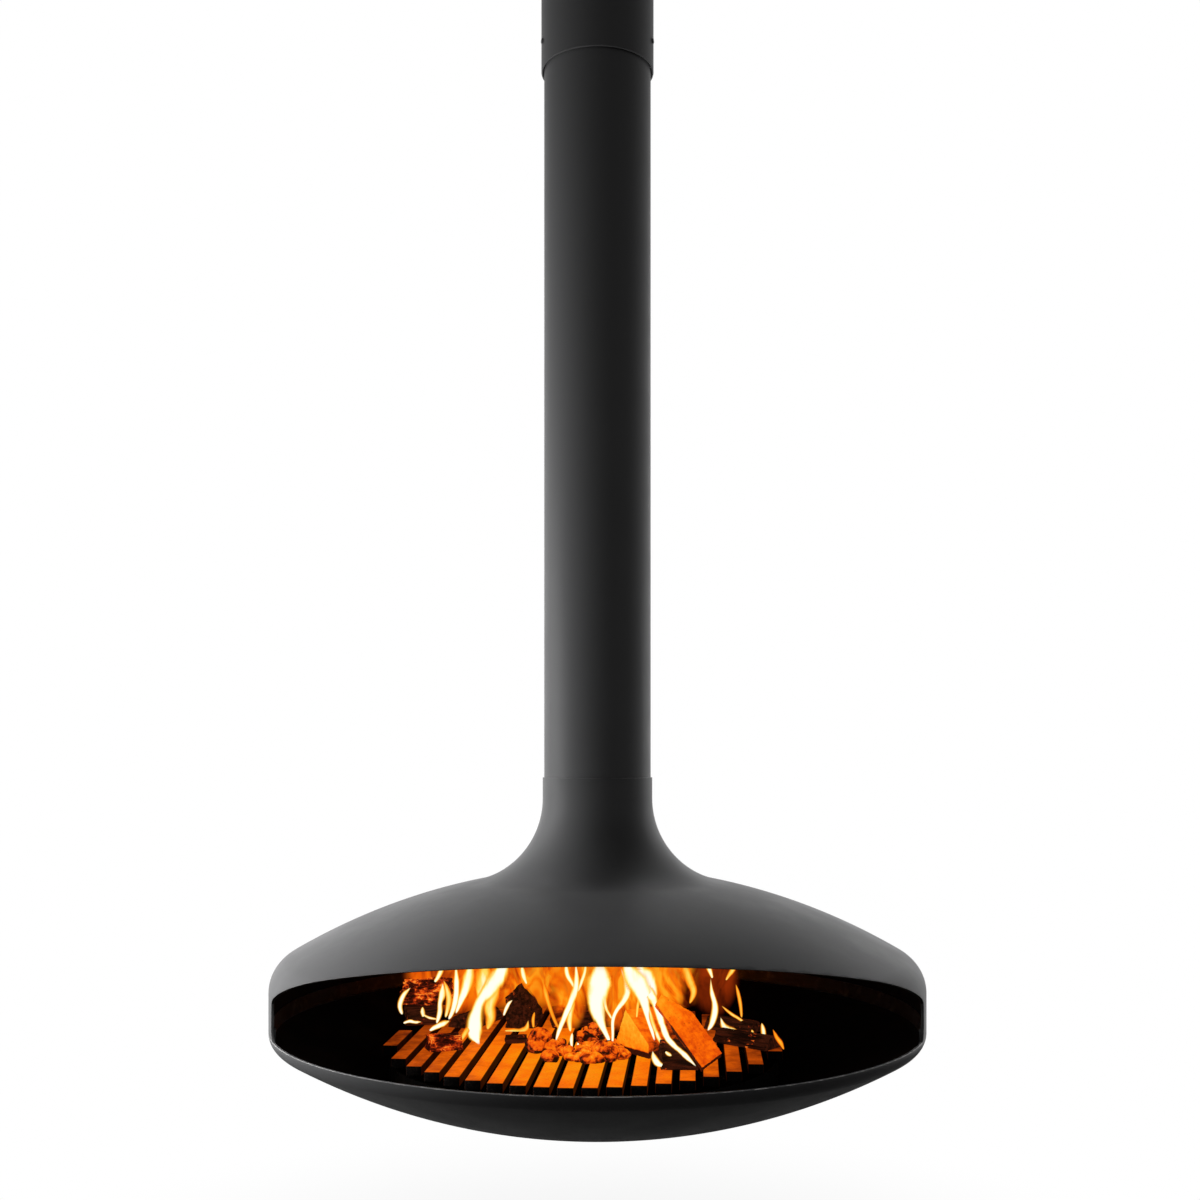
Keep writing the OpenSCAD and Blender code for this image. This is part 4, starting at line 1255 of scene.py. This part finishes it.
@dataclass
class Log:
    """One piece of firewood, carved from the block that the CAD part has for it.

    Its grain's turn about the upright and its rise are in degrees. A log lit by the flames has the
    fire's light painted on it as a glow where it looks the way its lit face does, and painted shade
    along its foot.
    """

    node: str
    burn: Burn
    turn: float
    rise: float = 0.0
    bark: float = 0.004
    fibre: float = 0.0012
    voxel: float = 0.0026
    worn: int = 5
    seed: float = 0.0
    lit_face: Point = UP
    # Height below which painted shade darkens the log's foot.
    shaded_below_z: float | None = None
    splits: tuple[Split, ...] = ()
    ridge_scale: Point = (9, 55, 55)
    fibre_scale: Point = (30, 330, 330)
    hollow_scale: float = 22
    hollow_share: float = 1.4
    hollow_from: float = 0.12
    foot_height: float = 0.012
    foot_share: float = 0.12

    def laid(self) -> Point:
        """How the wood's grain is turned from the X axis."""
        return (0.0, -math.radians(self.rise), math.radians(self.turn))

    def blank(self) -> BMesh:
        """The CAD block with its splits, in even faces and with its edges worn round."""
        block = merged_copy(self.node)
        for split in self.splits:
            cut = bmesh.ops.bisect_plane(
                block, geom=[*block.verts, *block.edges, *block.faces], plane_co=split.point,
                plane_no=split.away, clear_outer=True,
            )
            rim = [e for e in cut["geom_cut"] if isinstance(e, bmesh.types.BMEdge)]
            bmesh.ops.holes_fill(block, edges=rim)
        bm = remeshed(self.node, block, self.voxel)
        for _ in range(self.worn):
            bmesh.ops.smooth_vert(
                bm, verts=bm.verts, factor=0.5, use_axis_x=True, use_axis_y=True, use_axis_z=True,
            )
        bm.normal_update()
        return bm

    def carve(self, floor_z: float) -> BMesh:
        """Cuts bark ridges, fibres and burnt hollows into the block.

        Args:
            floor_z: Height of the bars it lies on, where it keeps its foot.

        Returns:
            The carved mesh.
        """
        bm = self.blank()
        turned = Euler(self.laid(), "XYZ").to_matrix().inverted()
        shift = Vector((self.seed, 3 * self.seed, 7 * self.seed))
        moves = []
        for vert in bm.verts:
            local = turned @ vert.co
            ridges = noise.fractal(scaled(local, self.ridge_scale) + shift, 0.9, 2.1, 4)
            fibres = noise.noise(scaled(local, self.fibre_scale) + shift)
            hollows = noise.noise(local * self.hollow_scale + shift)
            depth = self.bark * (0.5 + 0.6 * ridges) + self.fibre * (0.5 + 0.5 * fibres)
            depth += self.hollow_share * self.bark * max(0.0, hollows - self.hollow_from)
            foot = min(1.0, max(self.foot_share, (vert.co.z - floor_z) / self.foot_height))
            moves.append(vert.normal * max(0.0, depth) * foot)
        for vert, move in zip(bm.verts, moves):
            vert.co -= move
        return bm

    def build(self, floor_z: float) -> None:
        """Builds the log in place of its CAD node.

        Args:
            floor_z: Height of the bars it lies on.
        """
        finish = BurningWood(f"wood_{self.node}", self.burn, self.laid(), self.lit_face, self.shaded_below_z)
        shown = piece(f"{self.node}_wood", self.carve(floor_z), Body.GRATE, finish.make())
        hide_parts(self.node)


@dataclass
class Embers:
    """A bed of live coals in front of the logs, with a small heap and a few chunks at the left.

    Each step of the coals' relief has its depth, its lumps to a radius and how far it shifts from
    coal to coal. Each chunk has its X and Y, its radius and how high its middle lies.
    """

    count: int = 52
    middle: Flat = (-0.019, -0.128)
    spread: Flat = (0.073, 0.066)
    size: Flat = (0.0080, 0.0165)
    heap: Flat = (-0.008, -0.030)
    heap_count: int = 26
    heap_size: Flat = (0.030, 0.030)
    heap_coal: Flat = (0.008, 0.012)
    chunks: tuple[tuple[float, float, float, float], ...] = (
        (-0.116, -0.104, 0.022, 0.015), (-0.108, -0.098, 0.019, 0.030), (-0.086, -0.100, 0.017, 0.012),
    )
    clearance: float = 0.0003
    relief: tuple[Point, ...] = ((0.26, 1.1, 90), (0.12, 2.6, 50))
    seed: int = 11

    def add_coal(self, bm: BMesh, dice: random.Random, centre: Vector, radius: float,
                 floor_z: float) -> None:
        """Adds one knobbly coal.

        Args:
            bm: The coals so far.
            dice: Where its chances come from.
            centre: Its middle.
            radius: Its size.
            floor_z: Height of the bars, which it doesn't go below.
        """
        squash = Matrix.Diagonal(
            (dice.uniform(0.8, 1.35), dice.uniform(0.8, 1.2), dice.uniform(0.62, 0.9), 1.0),
        )
        turn = Matrix.Rotation(dice.uniform(0, math.tau), 4, "Z")
        place = Matrix.Translation(centre) @ turn @ squash
        for vert in bmesh.ops.create_icosphere(bm, subdivisions=3, radius=radius, matrix=place)["verts"]:
            away = vert.co - centre
            swell = 1.0
            for depth, lumps, shift in self.relief:
                swell += depth * noise.noise(away * (lumps / radius) + centre * shift)
            vert.co = centre + away * swell
            vert.co.z = max(vert.co.z, floor_z + self.clearance)

    def build(self, floor_z: float, coal: Material) -> None:
        """Builds the coals in place of the CAD lumps.

        Args:
            floor_z: Height of the bars they lie on.
            coal: Their finish.
        """
        dice = random.Random(self.seed)
        bm = bmesh.new()
        for _ in range(self.count):
            radius = dice.uniform(*self.size)
            x = self.middle[0] + dice.uniform(-1, 1) * self.spread[0]
            y = self.middle[1] + dice.uniform(-1, 1) * self.spread[1]
            layer = dice.choice((0.0, 0.0, 0.0, 0.8)) * radius
            self.add_coal(bm, dice, Vector((x, y, floor_z + 0.60 * radius + layer)), radius, floor_z)
        for _ in range(self.heap_count):
            radius = dice.uniform(*self.heap_coal)
            level = dice.random() ** 1.4
            away = (1.0 - level) * dice.uniform(0.2, 1.0)
            turn = dice.uniform(0, math.tau)
            spot = Vector((math.cos(turn), math.sin(turn), 0.0)) * away * self.heap_size[0]
            spot += Vector((*self.heap, floor_z + 0.7 * radius + level * self.heap_size[1]))
            self.add_coal(bm, dice, spot, radius, floor_z)
        for x, y, radius, lift in self.chunks:
            self.add_coal(bm, dice, Vector((x, y, floor_z + lift)), radius, floor_z)
        shown = piece("ember_bed", bm, Body.GRATE, coal)
        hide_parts("embers")


# ---- Flames ----


@dataclass(frozen=True)
class Tongue:
    """One tongue of flame, as points up its middle.

    Each point has its distance to the right of the axis, its height above the bars and the
    flame's half width there. The tongue stands at a depth behind the axis and leans back by a
    share of its height.
    """

    depth: float
    warmth: float
    points: tuple[Point, ...]
    lean: float = 0.0

    def at(self, share: float) -> Vector:
        """The middle and half width at a share of the way up, on a smooth curve.

        Args:
            share: From 0 at the root to 1 at the tip.

        Returns:
            X, height and half width.
        """
        last = len(self.points) - 1
        step = min(int(share * last), last - 1)
        t = share * last - step
        four = [Vector(self.points[min(max(step + k, 0), last)]) for k in (-1, 0, 1, 2)]
        straight = four[1] + (four[2] - four[1]) * t
        curve = 0.5 * (
            2 * four[1] + (four[2] - four[0]) * t
            + (2 * four[0] - 5 * four[1] + 4 * four[2] - four[3]) * t**2
            + (3 * four[1] - four[0] - 3 * four[2] + four[3]) * t**3
        )
        curve.z = max(curve.z, 0.4 * straight.z)
        return curve


def lick(depth: float, warmth: float, *points: Point, lean: float = 0.0) -> Tongue:
    """A tongue of flame whose points are given in millimetres."""
    return Tongue(depth, warmth, tuple((x / 1000, z / 1000, w / 1000) for x, z, w in points), lean)


@dataclass
class Flames:
    """Tongues of flame in one piece, each a closed lens that follows its middle line."""

    tongues: tuple[Tongue, ...]
    plump: float
    flatness: float
    around: int = 20
    rows: int = 34
    top: float = 0.176
    look: float = 0.02
    root: float = 0.10
    tip: float = 0.22

    def add(self, bm: BMesh, tongue: Tongue, floor_z: float) -> None:
        """Adds one tongue: a ball drawn out along the tongue's middle line.

        Args:
            bm: The flames so far.
            tongue: The tongue.
            floor_z: Height of the bars.
        """
        warmth = bm.verts.layers.float[FLAME_WARMTH]
        uv = bm.loops.layers.uv[FLAME_UV]
        ball = bmesh.ops.create_uvsphere(
            bm, u_segments=self.around, v_segments=self.rows, radius=1.0,
        )["verts"]
        where: dict[bmesh.types.BMVert, Flat] = {}
        for vert in ball:
            share = math.acos(max(-1.0, min(1.0, -vert.co.z))) / math.pi
            round_r = math.hypot(vert.co.x, vert.co.y)
            side, face = (vert.co.x / round_r, vert.co.y / round_r) if round_r > 1e-4 else (0.0, 0.0)
            where[vert] = (0.5 + 0.5 * side, share)
            here = tongue.at(share)
            ahead = tongue.at(min(1.0, share + self.look)) - tongue.at(max(0.0, share - self.look))
            across = Vector((ahead.y, -ahead.x)).normalized()
            swell = min(1.0, share / self.root) ** 0.5 * min(1.0, (1 - share) / self.tip) ** 0.75
            width = here.z * swell * self.plump
            vert.co.x = here.x + across.x * side * width
            vert.co.z = floor_z + min(max(here.y + across.y * side * width, 0.0), self.top)
            vert.co.y = tongue.depth + tongue.lean * here.y + face * width * self.flatness
            vert[warmth] = tongue.warmth
        for drawn in {f for vert in ball for f in vert.link_faces}:
            for loop in drawn.loops:
                loop[uv].uv = where[loop.vert]

    def build(self, name: str, floor_z: float, finish: Material) -> None:
        """Builds all tongues as one piece.

        Args:
            name: The piece's name.
            floor_z: Height of the bars.
            finish: The flames' finish.
        """
        bm = bmesh.new()
        bm.verts.layers.float.new(FLAME_WARMTH)
        bm.loops.layers.uv.new(FLAME_UV)
        for tongue in self.tongues:
            self.add(bm, tongue, floor_z)
        shown = piece(name, bm, Body.GRATE, finish)


@dataclass
class Fire:
    """The burning wood, embers and flames on the grate."""

    logs: tuple[Log, ...] = (
        Log("log_back", Burn.CHARRED, 6, seed=1.3),
        Log("log_centre", Burn.CHARRED, 84, bark=0.005, seed=2.1,
            splits=(Split((-0.1810, 0.124, -2.1205), (0.800, -0.084, 0.595)),)),
        Log("log_side", Burn.CHARRED, 66, seed=2.9),
        Log("log_left", Burn.CHARRED, 12, bark=0.007, worn=9, seed=3.7),
        Log("log_top", Burn.SMOULDERING, -14, bark=0.017, worn=18, seed=4.9),
        # The wedge and the board have the fire's light painted on; the wedge also painted shade along its
        # foot.
        Log("log_wedge", Burn.BLAZING_FIRELIT, 35.5, bark=0.0012, worn=2, seed=5.3, lit_face=(-0.814, -0.581, 0.0),
            shaded_below_z=-2.199),
        Log("log_prop", Burn.CHARRED, 0, seed=6.1),
        Log("split_board", Burn.BLAZING_FIRELIT, 139.6, 42.8, bark=0.0014, voxel=0.0022, worn=2, seed=7.7,
            lit_face=(0.0, -0.819, 0.574)),
        Log("log_right", Burn.CHARRED, -42, seed=8.3),
        Log("log_far", Burn.CHARRED, -36, seed=8.8),
        Log("charred_block", Burn.SMOULDERING, 22, bark=0.005, voxel=0.002, worn=6, seed=9.1),
        Log("charred_stub", Burn.CHARRED, 8, bark=0.0025, voxel=0.0018, seed=9.8),
    )
    tongues: tuple[Tongue, ...] = (
        lick(0.098, 1.05, (-395, 34, 2.1), (-400, 50, 3.3), (-397, 64, 3.7), (-389, 78, 3.3),
             (-378, 89, 1.6)),
        lick(0.113, 0.95, (-354, 27, 2.4), (-356, 37, 3.3), (-356, 47, 1.6)),
        lick(0.112, 0.85, (-354, 31, 1.6), (-342, 25, 1.8), (-325, 22, 1.2)),
        lick(0.112, 1.0, (-395, 14, 1.4), (-382, 18, 2.2), (-370, 16, 2.2), (-358, 17, 1.2)),
        lick(0.030, 1.0, (-332, 15, 1.6), (-318, 23, 3.6), (-304, 29, 4), (-292, 35, 2)),
        lick(0.040, 1.05, (-319, 27, 2), (-313, 48, 3.8), (-312, 68, 3.6), (-307, 88, 5.2),
             (-307, 108, 2.4)),
        lick(0.045, 0.75, (-302, 38, 2), (-297, 57, 3.6), (-295, 77, 4.4), (-300, 97, 3.2),
             (-306, 113, 1.6)),
        lick(0.050, 0.9, (-324, 108, 2), (-318, 116, 3.2), (-312, 128, 4), (-306, 144, 3)),
        lick(0.055, 1.05, (-297, 32, 1.8), (-289, 48, 3.6), (-283, 70, 4.4), (-281, 92, 4),
             (-281, 115, 4), (-283, 147, 3.6)),
        lick(0.060, 1.0, (-283, 43, 2), (-273, 69, 4.8), (-263, 91, 7.2), (-257, 115, 8.4),
             (-253, 147, 8)),
        lick(-0.030, 1.2, (-228, 0, 2.3), (-236, 19, 9.7), (-236, 42, 10.8), (-232, 67, 8.1),
             (-226, 85, 7.3), (-212, 104, 10), (-197, 125, 11.6), (-183, 147, 12.8), (-174, 168, 9.7)),
        lick(-0.035, 0.55, (-264, 8, 1.9), (-256, 22, 3.5), (-247, 35, 3.5)),
        lick(-0.026, 0.62, (-213, 28, 2.9), (-207, 51, 6.8), (-209, 74, 7.7), (-201, 94, 7.7),
             (-189, 113, 5.8)),
        lick(0.050, 0.72, (-235, 72, 3), (-233, 96, 8), (-227, 118, 11.9), (-221, 144, 11.9)),
        lick(0.113, 1.1, (-191, 29, 1.4), (-187, 41, 2.6), (-181, 53, 2.4), (-173, 61, 1)),
        lick(0.100, 0.66, (-188, 1, 1.4), (-172, 0, 3.4), (-156, 0, 4.5), (-144, 7, 3.6),
             (-140, 23, 1.4)),
        lick(0.112, 0.5, (-130, 5, 1.6), (-131, 21, 2.4), (-128, 37, 1.2)),
        lick(0.130, 0.9, (-145, 91, 1.6), (-151, 107, 3.7), (-155, 128, 3.1)),
        lick(0.110, 0.45, (-77, 0, 1.6), (-89, 25, 2.8), (-99, 54, 3), (-106, 78, 3.3), (-110, 98, 2)),
        lick(0.000, 1.1, (-82, 0, 1.8), (-72, 29, 3.5), (-62, 54, 4.3), (-51, 79, 5.1), (-43, 103, 5.1),
             (-41, 128, 4.3), (-43, 156, 3.1)),
        lick(0.006, 0.7, (-53, 18, 2), (-55, 41, 4.3), (-51, 65, 4.7), (-45, 84, 3.9)),
        lick(0.004, 0.9, (-41, 96, 2), (-49, 112, 2.7), (-59, 131, 3.5), (-62, 155, 2.7)),
        lick(0.004, 0.8, (-39, 96, 2), (-31, 116, 2.7), (-25, 135, 2.7), (-23, 155, 2)),
        lick(-0.060, 1.0, (-49, 2, 1.5), (-50, 16, 2.7), (-48, 29, 1.3)),
        lick(-0.062, 0.9, (-38, 4, 1.3), (-36, 14, 2.1), (-36, 24, 1.1)),
        lick(-0.070, 1.3, (29, 4, 1.7), (15, 31, 3.8), (4, 58, 8), (-2, 86, 12.9), (0, 113, 16),
             (4, 137, 20), (6, 166, 20.9)),
        lick(-0.076, 1.05, (28, 6, 1.7), (29, 30, 2.1), (29, 55, 2.5), (36, 74, 2.8), (50, 93, 4.6),
             (57, 110, 5.3), (53, 131, 4.9), (44, 156, 3.8)),
        lick(-0.074, 0.8, (29, 56, 1.7), (17, 77, 2.7), (13, 98, 3.8), (19, 119, 4.2), (25, 140, 3.8)),
        lick(-0.165, 1.2, (105, 35, 1.5), (99, 57, 2.6), (92, 83, 4.4), (86, 105, 6.6), (83, 123, 10.3),
             (72, 144, 13.9), (59, 164, 14.7), (50, 180, 12.8)),
        lick(-0.200, 0.75, (129, 18, 1.3), (118, 33, 2.4), (108, 52, 2.7), (99, 76, 3.1), (95, 97, 2.7),
             lean=0.3),
        lick(-0.160, 0.6, (72, 77, 1.5), (74, 97, 2.4), (77, 119, 2.2)),
        lick(-0.277, 1.15, (174, 11, 1.2), (163, 21, 2.5), (151, 31, 3.5), (137, 42, 3.2), (125, 54, 3.9),
             (117, 72, 4.3), (111, 92, 4.7), (104, 109, 5.8), (94, 127, 9.5), (82, 146, 12.2), lean=0.9),
        lick(-0.262, 0.8, (146, 59, 2.2), (138, 73, 2.2), (126, 88, 2.4), (116, 104, 2.2), lean=0.9),
        lick(-0.150, 1.2, (104, 108, 5.5), (94, 126, 12.9), (85, 145, 16.6), (74, 171, 16.6)),
        lick(-0.245, 1.15, (121, 6, 1.2), (109, 11, 3.9), (101, 20, 4.3), (98, 34, 1.6)),
        lick(-0.262, 1.0, (120, 36, 1.4), (125, 32, 2.8), (131, 29, 1.4)),
        lick(0.060, 1.05, (220, 9, 1.6), (228, 23, 3.6), (234, 45, 4.4), (234, 65, 3.8), (228, 87, 3.2),
             (226, 115, 2)),
        lick(0.055, 0.9, (229, 115, 1.6), (225, 127, 3.2), (219, 143, 4.4)),
        lick(0.030, 1.1, (283, 9, 1.6), (271, 13, 4.3), (259, 15, 5.9), (249, 25, 4.3), (243, 42, 1.8)),
        lick(0.088, 0.62, (305, 7, 1.2), (289, 25, 2), (269, 38, 2), (250, 54, 1.2)),
        lick(0.080, 0.55, (290, 31, 1.4), (288, 55, 2.4), (284, 77, 2.4), (278, 99, 1.2)),
        lick(-0.020, 0.75, (302, 15, 1.4), (301, 21, 2.1), (299, 27, 1)),
        lick(-0.040, 0.8, (320, 15, 3.1), (319, 29, 3.3), (316, 44, 1.2)),
        lick(-0.075, 0.42, (354, 0, 1.1), (348, 13, 2.8), (340, 24, 2.3), (333, 39, 1)),
        lick(0.120, 0.66, (262, 100, 1.2), (272, 116, 3.6), (284, 134, 3.6)),
        lick(0.120, 0.55, (188, 52, 2), (196, 76, 4.5), (188, 99, 6.1), (180, 121, 6.5), (176, 138, 4.9)),
        lick(0.110, 0.7, (159, 82, 1.6), (153, 103, 3.3), (147, 123, 3.7), (143, 139, 2.4)),
    )
    haze: tuple[Tongue, ...] = (
        lick(0.190, 0.58, (-352, 40, 34), (-356, 75, 54), (-352, 105, 58), (-348, 132, 50)),
        lick(0.235, 0.80, (-262, 4, 50), (-268, 50, 84), (-262, 110, 90), (-255, 144, 70)),
        lick(0.285, 1.04, (-118, 4, 80), (-112, 60, 104), (-104, 110, 112), (-100, 144, 100)),
        lick(0.256, 1.0, (-190, 10, 60), (-188, 60, 80), (-184, 110, 84), (-180, 144, 76)),
        lick(0.262, 1.08, (28, 4, 80), (34, 60, 100), (38, 110, 106), (40, 144, 100)),
        lick(0.285, 1.0, (150, 4, 70), (146, 60, 80), (142, 110, 84), (138, 144, 80)),
        lick(0.215, 0.22, (232, 10, 34), (246, 60, 50), (252, 110, 54), (250, 144, 46)),
        lick(0.075, 1.0, (-60, 2, 20), (-58, 50, 40), (-54, 110, 48), (-50, 172, 44)),
        lick(0.060, 1.08, (40, 2, 26), (50, 50, 44), (60, 110, 52), (66, 172, 50)),
        lick(0.060, 1.0, (130, 20, 20), (136, 60, 36), (138, 110, 44), (130, 172, 44)),
    )

    def build(self, coal: Material, flame: Material, haze: Material) -> None:
        """Builds the fire.

        Args:
            coal: Finish of the embers.
            flame: Finish of the flames.
            haze: Finish of the thin flame between them.
        """
        bars_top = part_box("grate_bars")[1].z
        for log in self.logs:
            log.build(bars_top)
        Embers().build(bars_top, coal)
        Flames(self.tongues, plump=2.05, flatness=0.34).build("flames", bars_top, flame)
        Flames(self.haze, plump=1.0, flatness=0.12).build("flame_haze", bars_top, haze)


# ---- Studio ----


@dataclass(frozen=True)
class Softbox:
    """A large square lamp, whose side and power are in metres and watts."""

    name: str
    place: Point
    aim: Point
    side: float
    power: float

    def build(self) -> None:
        """Hangs the lamp, which no surface mirrors."""
        lamp = bpy.data.lights.new(self.name, "AREA")
        lamp.shape = "SQUARE"
        lamp.size = self.side
        lamp.energy = self.power
        holder = bpy.data.objects.new(self.name, lamp)
        holder.location = self.place
        holder.rotation_euler = (Vector(self.aim) - Vector(self.place)).to_track_quat("-Z", "Y").to_euler()
        holder.visible_glossy = False
        bpy.context.scene.collection.objects.link(holder)


@dataclass
class Studio:
    """Floor, pale surroundings, lamps and camera."""

    floor_z: float = StudioWhite.level
    floor_r: float = 3.2
    fill: float = 0.11
    wall_fades: Flat = (0.20, 0.52)
    above: float = 0.40
    lens: float = 41.55
    sensor: float = 36.0
    camera_place: Point = (0.0, -2.706, -1.650)
    shift: Flat = (0.0021, 0.129)
    boxes: tuple[Softbox, ...] = (
        Softbox("key_left", (-1.75, -0.25, -1.82), (0, 0, -1.86), 0.9, 46),
        Softbox("rim_left", (-1.45, 0.45, -1.45), (0, 0, -2.2), 0.8, 36),
        Softbox("rim_right", (1.45, 1.15, -1.45), (0, 0, -2.2), 0.8, 50),
        Softbox("back_left", (-0.55, 1.3, -0.5), (0, 0, -2.0), 0.6, 22),
        Softbox("back_right", (0.55, 1.3, -0.5), (0, 0, -2.0), 0.6, 28),
    )

    def build(self, white: Material) -> None:
        """Sets the stage.

        Args:
            white: Finish of the floor.
        """
        bm = bmesh.new()
        middle = Matrix.Translation((0, 0, self.floor_z))
        bmesh.ops.create_circle(bm, cap_ends=True, segments=96, radius=self.floor_r, matrix=middle)
        floor = as_object("studio_floor", bm, white)
        for box in self.boxes:
            box.build()
        self.surround()
        self.aim_camera()

    def surround(self) -> None:
        """Makes the surroundings white to the camera and a plain fill to the part.

        What the part mirrors is white at the level of the walls and darker above.
        """
        world = bpy.data.worlds.new("studio")
        bpy.context.scene.world = world
        world.use_nodes = True
        nodes = Nodes(world.node_tree)
        camera, mirrored = nodes.rays()
        height = nodes.parts(nodes.node("TexCoord").outputs["Generated"])[2]
        wall = nodes.ranged(height, *self.wall_fades, 1.0, self.above)
        bright = nodes.maths("MAXIMUM", wall, camera)
        seen = nodes.maths("MAXIMUM", camera, mirrored)
        level = nodes.node("MapRange", Value=seen, To_Min=self.fill, To_Max=bright).outputs["Result"]
        background = nodes.node("Background", Color=WHITE, Strength=level)
        nodes.node("OutputWorld", background.outputs["Background"])

    def aim_camera(self) -> None:
        """Sets the camera where the photograph was taken from, level and looking along +Y."""
        lens = bpy.data.cameras.new("photo_camera")
        lens.lens = self.lens
        lens.sensor_width = self.sensor
        lens.sensor_fit = "HORIZONTAL"
        lens.shift_x, lens.shift_y = self.shift
        camera = bpy.data.objects.new("photo_camera", lens)
        camera.location = self.camera_place
        camera.rotation_euler = (math.pi / 2, 0.0, 0.0)
        bpy.context.scene.collection.objects.link(camera)
        bpy.context.scene.camera = camera
        bpy.context.scene.view_settings.view_transform = "Standard"


def main() -> None:
    """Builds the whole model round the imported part."""
    logging.basicConfig(level=logging.INFO, format="%(levelname)s %(message)s")
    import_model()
    paint = BlackPaint().make()
    soot = SOOTED_STEEL.make()
    Hanger().build(paint, MILL_STEEL.make())
    Shell().build(paint, soot, WornHighlightEdge().make())
    Grate().build(HotFirelitIron().make(), soot)
    Fire().build(LiveCoal().make(), FlameLight().make(), FlameHaze().make())
    Studio().build(StudioWhite().make())


if __name__ == "__main__":
    main()
